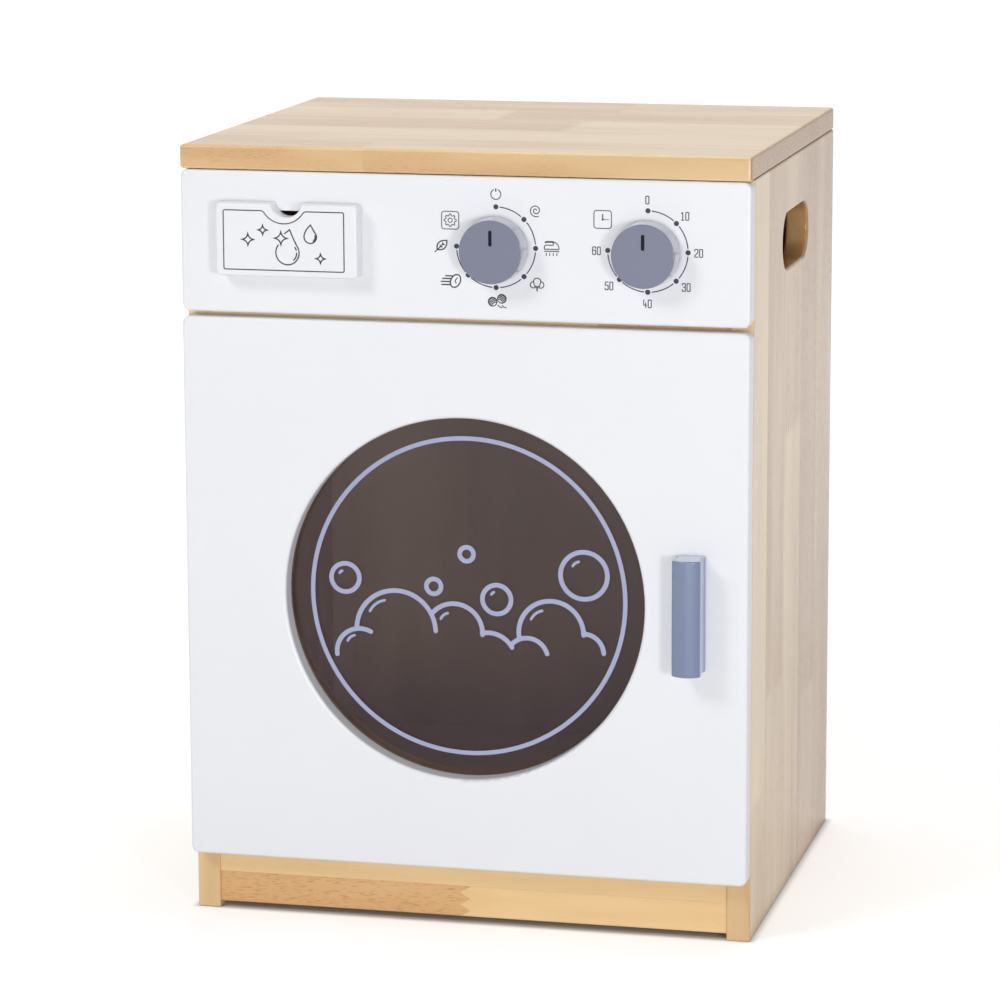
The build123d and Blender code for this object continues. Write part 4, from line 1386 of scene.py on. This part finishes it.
@dataclass(frozen=True)
class Signs:
    """Plain signs for the dials, each in millimetres about its own middle."""

    line: float = 0.64
    bold: float = 0.85
    box_side: float = 11.0
    box_corner: float = 1.9
    digit_half_width: float = 0.95
    digit_half_height: float = 2.4
    digit_corner: float = 0.55
    digit_step: float = 2.95

    def off(self) -> list[Mark]:
        """A ring that is open at the top, with a short bar in the opening."""
        radius, gap = 3.15, 27.0
        ring = arc(0.0, 0.0, radius, 90.0 + gap, 450.0 - gap)
        return [Mark(ring, self.line), Mark([(0.0, radius + 0.1), (0.0, 1.9)], self.bold)]

    def spin(self) -> list[Mark]:
        """A spiral."""
        return [Mark(spiral(0.6, 3.9, 385.0, 1015.0), self.line)]

    def iron(self) -> list[Mark]:
        """An iron on a line, with steam below."""
        grip = [(-3.9, 3.7), (-3.0, 4.1), (0.9, 4.1)]
        hood = [(0.9, 4.1), *bend((2.0, 3.9), (4.3, 2.9), (4.7, 0.1)), (4.5, -0.5)]
        base = [(4.5, -0.5), (-4.5, -0.5)]
        heel = [(-4.5, -0.5), *bend((-4.7, 0.3), (-4.7, 2.0), (-3.4, 2.1)), (0.3, 2.0)]
        palm = bend((0.3, 2.0), (2.0, 2.4), (0.6, 3.8))
        marks = [Mark(grip, 1.1)]
        marks += [Mark(path, self.line) for path in (hood, base, heel, palm)]
        marks.append(Mark([(-4.6, -1.8), (4.6, -1.8)], self.line))
        marks += [Mark([(x, -3.0), (x - 0.1, -4.3)], self.line) for x in (-3.4, -1.2, 1.1, 3.3)]
        return marks

    def cotton(self) -> list[Mark]:
        """A cotton boll: three round puffs over a small cup and stem."""
        marks = [Mark(arc(0.0, 1.9, 2.3, -42.0, 222.0), self.line)]
        marks.append(Mark(arc(-2.3, 0.0, 2.0, 105.0, 300.0), self.line))
        marks.append(Mark(arc(2.3, 0.0, 2.0, 75.0, -120.0), self.line))
        marks.append(Mark(bend((-1.7, -0.6), (0.0, -2.0), (1.7, -0.6)), self.bold))
        marks.append(Mark([(-0.6, -1.7), (0.6, -1.7), (0.3, -4.1), (-0.3, -4.1)]))
        return marks

    def wool(self) -> list[Mark]:
        """Two balls of wool with loose ends."""
        marks = []
        for x, z, turn in ((-3.1, -0.5, 35.0), (2.8, 1.5, -35.0)):
            ball = Mark(circle(0.0, 0.0, 2.75), self.line, closed=True)
            marks += turned([ball, *self.threads(2.75)], turn, x, z)
        for x in (0.4, 3.0):
            marks.append(Mark(bend((x, -2.6), (x + 0.8, -3.9), (x + 2.6, -4.0)), self.line))
        return marks

    def threads(self, radius: float) -> list[Mark]:
        """Threads wound round a ball, bowed to one side."""
        marks = []
        for share in (-0.62, -0.25, 0.12, 0.5):
            reach = math.sqrt(1.0 - share**2) * radius * 0.94
            z = share * radius
            marks.append(Mark(bend((-reach, z), (0.0, z + 1.6), (reach, z)), self.line * 1.1))
        return marks

    def quick(self) -> list[Mark]:
        """A leaning clock with speed lines behind it."""
        marks = [Mark(oval(2.8, 0.0, 3.0, 4.3, 27.0), self.bold, closed=True)]
        marks.append(Mark([(4.0, 2.0), (2.5, 0.1), (3.2, -1.5)], self.line))
        ends = ((-3.4, 0.6, 3.1), (-5.4, -0.4, 1.4), (-6.4, -0.9, -0.5), (-6.0, -0.8, -2.4))
        marks += [Mark([(start, z), (end, z)], self.bold) for start, end, z in ends]
        return marks

    def leaf(self) -> list[Mark]:
        """A leaf with its vein and stalk."""
        tip, foot = (3.6, 3.4), (-2.6, -2.4)
        upper = bend(tip, (-3.6, 3.6), foot, 14)
        lower = bend(foot, (3.8, -3.4), tip, 14)
        outline = Mark([*upper[:-1], *lower[:-1]], self.bold, closed=True)
        vein = Mark([(-4.1, -3.9), (1.6, 1.5)], self.line)
        ribs = [Mark([(x, x * 0.95), (x + dx, x * 0.95 + dz)], self.line * 0.9)
                for x in (-0.8, 0.7) for dx, dz in ((0.1, 1.4), (1.4, 0.1))]
        return [outline, vein, *ribs]

    def gear(self) -> list[Mark]:
        """A gear wheel in a rounded box."""
        teeth, tip, root = 8, 3.9, 3.0
        pitch = FULL_TURN / teeth
        rim: list[Point] = []
        for tooth in range(teeth):
            middle = tooth * pitch
            for radius, turn in ((root, -0.30), (tip, -0.17), (tip, 0.17), (root, 0.30)):
                angle = math.radians(middle + turn * pitch)
                rim.append((radius * math.cos(angle), radius * math.sin(angle)))
        wheel = Mark(rounded(rim, 0.35, closed=True), self.line, closed=True)
        hub = Mark(circle(0.0, 0.0, 1.35), self.line, closed=True)
        return [self.frame_line(), wheel, hub]

    def clock(self) -> list[Mark]:
        """Two clock hands in a rounded box."""
        hands = [Mark([(0.0, 0.0), (0.0, 3.1)], self.bold), Mark([(0.0, 0.0), (3.9, 0.0)], 0.45)]
        return [self.frame_line(), *hands, Mark(circle(0.0, 0.0, 0.75))]

    def frame_line(self) -> Mark:
        """The rounded box round a sign."""
        path = rounded_box(self.box_side, self.box_side, self.box_corner)
        return Mark(path, self.line, closed=True)

    def number(self, value: int) -> list[Mark]:
        """The digits of a number, side by side about its middle."""
        digits = str(value)
        start = -self.digit_step * (len(digits) - 1) / 2
        marks = []
        for i, digit in enumerate(digits):
            for path in self.digit(digit):
                marks.append(Mark(shifted(path, start + i * self.digit_step, 0.0), self.line))
        return marks

    def digit(self, digit: str) -> list[list[Point]]:
        """The strokes of one condensed, squarish digit."""
        half_strokes = {
            "0": [[(0, 1), (-1, 1), (-1, -1), (1, -1), (1, 1), (0, 1)]],
            "1": [[(-0.75, 0.72), (0.1, 1), (0.1, -1)], [(-0.75, -1), (0.9, -1)]],
            "2": [[(-1, 0.55), (-1, 1), (1, 1), (1, 0.15), (-1, -0.6), (-1, -1), (1, -1)]],
            "3": [
                [(-1, 0.6), (-1, 1), (1, 1), (1, 0.08), (-0.2, 0.05)],
                [(-0.2, 0.05), (1, 0.0), (1, -1), (-1, -1), (-1, -0.6)],
            ],
            "4": [[(-0.7, 1), (-1, -0.35), (1, -0.35)], [(0.5, 0.25), (0.5, -1)]],
            "5": [[(0.95, 1), (-0.9, 1), (-1, 0.12), (1, 0.2), (1, -1), (-1, -1), (-1, -0.6)]],
            "6": [[(0.95, 0.6), (0.95, 1), (-1, 1), (-1, -1), (1, -1), (1, 0.15), (-1, 0.15)]],
        }
        wide, tall = self.digit_half_width, self.digit_half_height
        return [
            rounded([(x * wide, z * tall) for x, z in stroke], self.digit_corner)
            for stroke in half_strokes[digit]
        ]


@dataclass
class Dial:
    """One turning knob with the scale and signs that are printed round it."""

    name: str
    signs: tuple[tuple[list[Mark], float, float], ...]
    boxed: tuple[list[Mark], float, float]
    rise: float = 1.1
    dot_circle: float = 25.2
    dot_radius: float = 1.62
    dot_count: int = 7
    dot_step: float = 45.0
    arc_line: float = 0.72
    arc_start: float = 6.1
    seed: float = 0.0

    def build(self) -> None:
        """Dresses the knob's pieces and prints its scale."""
        dress(f"{self.name}_knob", KNOB_PAINT)
        dress(f"{self.name}_mark", MARK_INK)
        turned_wood = Rubberwood(
            f"{self.name}_spindle_wood", grain=Axis.Y, across=Axis.X, seed=self.seed
        )
        dress(f"{self.name}_spindle", turned_wood)
        dress(f"{self.name}_disc", Rubberwood(f"{self.name}_disc_wood", seed=self.seed + 1.0))
        dress(f"{self.name}_disc_screw", SCREW_STEEL)
        self.print_scale()

    def print_scale(self) -> None:
        """Prints the dots, the arcs between them and the signs."""
        low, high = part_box(f"{self.name}_knob")
        x = (low.x + high.x) / 2 / MM
        z = (low.z + high.z) / 2 / MM + self.rise
        face_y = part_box("control_panel")[0].y
        scale = InkDrawing(face_y)
        for i in range(self.dot_count):
            angle = 90.0 - i * self.dot_step
            reach = math.radians(angle)
            dot_x = x + self.dot_circle * math.cos(reach)
            dot_z = z + self.dot_circle * math.sin(reach)
            scale.fill(circle(dot_x, dot_z, self.dot_radius))
            if i < self.dot_count - 1:
                ends = (angle - self.arc_start, angle - self.dot_step + self.arc_start)
                scale.stroke(arc(x, z, self.dot_circle, *ends), self.arc_line)
        scale.finish(f"{self.name}_print_scale", DARK_INK, "cabinet")
        signs = InkDrawing(face_y)
        for marks, sign_x, sign_z in self.signs:
            signs.lay(marks, x + sign_x, z + sign_z)
        signs.finish(f"{self.name}_print_signs", DARK_INK, "cabinet")
        boxed = InkDrawing(face_y)
        marks, sign_x, sign_z = self.boxed
        boxed.lay(marks, x + sign_x, z + sign_z)
        boxed.finish(f"{self.name}_print_box", FINE_INK, "cabinet")


@dataclass
class Controls:
    """The programme dial and the timer dial."""

    drawn: Signs = field(default_factory=Signs)

    def build(self) -> None:
        """Builds both dials."""
        self.programme_dial().build()
        self.timer_dial().build()

    def programme_dial(self) -> Dial:
        """The dial whose signs stand for washing programmes."""
        drawn = self.drawn
        signs = (
            (drawn.off(), 0.0, 33.0),
            (drawn.spin(), 25.3, 23.5),
            (drawn.iron(), 35.4, 0.2),
            (drawn.cotton(), 26.1, -22.7),
            (drawn.wool(), 0.8, -33.6),
            (drawn.quick(), -28.8, -21.8),
            (drawn.leaf(), -35.0, 0.0),
        )
        return Dial("programme", signs, (drawn.gear(), -29.2, 16.1), seed=91.0)

    def timer_dial(self) -> Dial:
        """The dial with plain minutes."""
        places = (
            (0, -0.4, 31.8),
            (10, 23.1, 22.4),
            (20, 31.8, -0.2),
            (30, 24.1, -21.5),
            (40, -0.2, -32.4),
            (50, -24.4, -22.0),
            (60, -32.3, -0.4),
        )
        signs = tuple((self.drawn.number(value), x, z) for value, x, z in places)
        return Dial("timer", signs, (self.drawn.clock(), -28.4, 19.1), seed=95.0)


# ------------------------------------------------------------------ studio


@dataclass
class Lamp:
    """One softbox."""

    name: str
    place: Colour
    size: float
    power: float


@dataclass
class Studio:
    """A plain white floor, soft light and the camera."""

    floor_reach: float = 9.0
    camera_place: Colour = (0.6373, -2.6766, 0.7889)
    camera_turn: float = 13.620
    camera_dip: float = 11.031
    camera_roll: float = -0.211
    focal_pixels: float = 4234.1
    picture_width: float = 1000.0
    sensor_width: float = 36.0
    floor_tone: float = 0.76
    # Painted shadow: the floor's glow fades out from contact_out outside the cabinet's foot to
    # contact_in inside it.
    contact_in: float = -0.002
    contact_out: float = 0.006
    near_glow: float = 0.50
    far_glow: float = 0.30
    sky_light: float = 0.336
    sky_gloss: float = 0.8
    aim: Colour = (0.0, 0.0, 0.26)
    lamps: tuple[Lamp, ...] = (
        Lamp("high_softbox", (-1.5, -2.1, 2.2), 1.0, 26.0),
        Lamp("side_softbox", (1.9, -2.9, 0.5), 0.5, 27.0),
        Lamp("front_softbox", (0.55, -3.6, 0.15), 1.2, 38.0),
        Lamp("top_softbox", (0.2, 0.7, 2.6), 1.6, 23.0),
    )

    def build(self) -> None:
        """Builds the floor, the light and the camera."""
        self.make_camera()
        self.make_floor()
        self.make_sky()
        for lamp in self.lamps:
            self.make_lamp(lamp)
        bpy.context.scene.view_settings.view_transform = "Standard"

    def make_camera(self) -> None:
        """Puts the camera where the photograph was taken from."""
        data = bpy.data.cameras.new("camera")
        data.sensor_width = self.sensor_width
        data.lens = self.focal_pixels / self.picture_width * self.sensor_width
        camera = bpy.data.objects.new("camera", data)
        turn = Matrix.Rotation(math.radians(self.camera_turn), 4, "Z")
        tip = Matrix.Rotation(math.radians(90.0 - self.camera_dip), 4, "X")
        roll = Matrix.Rotation(math.radians(self.camera_roll), 4, "Z")
        camera.matrix_world = Matrix.Translation(self.camera_place) @ turn @ tip @ roll
        bpy.context.scene.collection.objects.link(camera)
        bpy.context.scene.camera = camera

    def make_floor(self) -> None:
        """Lays a wide round floor that keeps the object's shadow."""
        mesh = bmesh.new()
        bmesh.ops.create_circle(mesh, cap_ends=True, segments=96, radius=self.floor_reach)
        data = bpy.data.meshes.new("floor")
        mesh.to_mesh(data)
        mesh.free()
        floor = bpy.data.objects.new("floor", data)
        bpy.context.scene.collection.objects.link(floor)
        data.materials.append(self.floor_material())

    def seen_share(self, sheet: NodeSheet) -> Signal:
        """1 for what the camera sees straight, in a gloss or through glass, else 0."""
        path = sheet.add("ShaderNodeLightPath", None, None, "Is Camera Ray")
        return path.maximum(path.out("Is Glossy Ray")).maximum(path.out("Is Transmission Ray"))

    def floor_material(self) -> bpy.types.Material:
        """White floor paint with a glow that only the eye and gloss see."""
        sheet = NodeSheet(bpy.data.materials.new("white_floor"))
        place = sheet.place()
        tone = self.floor_tone + (sheet.noise(place, 3.0, 2.0) - 0.5) * 0.01
        reach = sheet.add("ShaderNodeVectorMath", {"operation": "LENGTH"}, {0: place}, "Value")
        matt = sheet.add("ShaderNodeBsdfDiffuse", None, {"Color": sheet.point(tone, tone, tone)})
        level = reach.step(0.5, 2.4) * self.far_glow + self.near_glow
        # Painted shadow: no glow under the cabinet and in a thin band round its foot.
        level = level * self.outside_share(sheet, place)
        glow = sheet.add("ShaderNodeEmission", None, {"Strength": self.seen_share(sheet) * level})
        sheet.close(sheet.add("ShaderNodeAddShader", None, {0: matt, 1: glow}))
        return sheet.owner

    def outside_share(self, sheet: NodeSheet, place: Signal) -> Signal:
        """0 under the cabinet, where the floor's glow would hide its contact shadow, else 1;
        taking the glow away out to a few millimetres past the foot also adds painted shadow there.

        Args:
            sheet: The floor's sheet.
            place: The place on the floor.

        Returns:
            A signal from 0 to 1.
        """
        plinth_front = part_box("plinth")[0].y
        low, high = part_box("worktop")
        middle_y = (plinth_front + high.y) / 2
        split = sheet.add("ShaderNodeSeparateXYZ", None, {0: place})
        past_side = abs(split.out("X")) - (high.x - low.x) / 2
        past_front = abs(split.out("Y") - middle_y) - (high.y - plinth_front) / 2
        return past_side.maximum(past_front).step(self.contact_in, self.contact_out)

    def make_sky(self) -> None:
        """Lights the room evenly and shows white behind the object."""
        world = bpy.data.worlds.new("studio")
        bpy.context.scene.world = world
        sheet = NodeSheet(world)
        path = sheet.add("ShaderNodeLightPath", None, None, "Is Camera Ray")
        gloss = path.out("Is Glossy Ray").maximum(path.out("Is Transmission Ray"))
        strength = path * (1.0 - self.sky_light) + self.sky_light
        strength = gloss * (self.sky_gloss - self.sky_light) + strength
        white = (1.0, 1.0, 1.0)
        sheet.close(
            sheet.add("ShaderNodeBackground", None, {"Color": white, "Strength": strength})
        )

    def make_lamp(self, lamp: Lamp) -> None:
        """Hangs one softbox, turned to the object."""
        data = bpy.data.lights.new(lamp.name, "AREA")
        data.shape = "DISK"
        data.size = lamp.size
        data.energy = lamp.power
        box = bpy.data.objects.new(lamp.name, data)
        box.location = lamp.place
        aim = Vector(self.aim) - Vector(lamp.place)
        box.rotation_euler = aim.to_track_quat("-Z", "Y").to_euler()
        bpy.context.scene.collection.objects.link(box)


def main() -> None:
    """Builds the studio and dresses the washing machine."""
    logging.basicConfig(level=logging.INFO, format="%(message)s")
    for builder in (Studio(), Cabinet(), Door(), Drawer(), Controls()):
        builder.build()


if __name__ == "__main__":
    main()
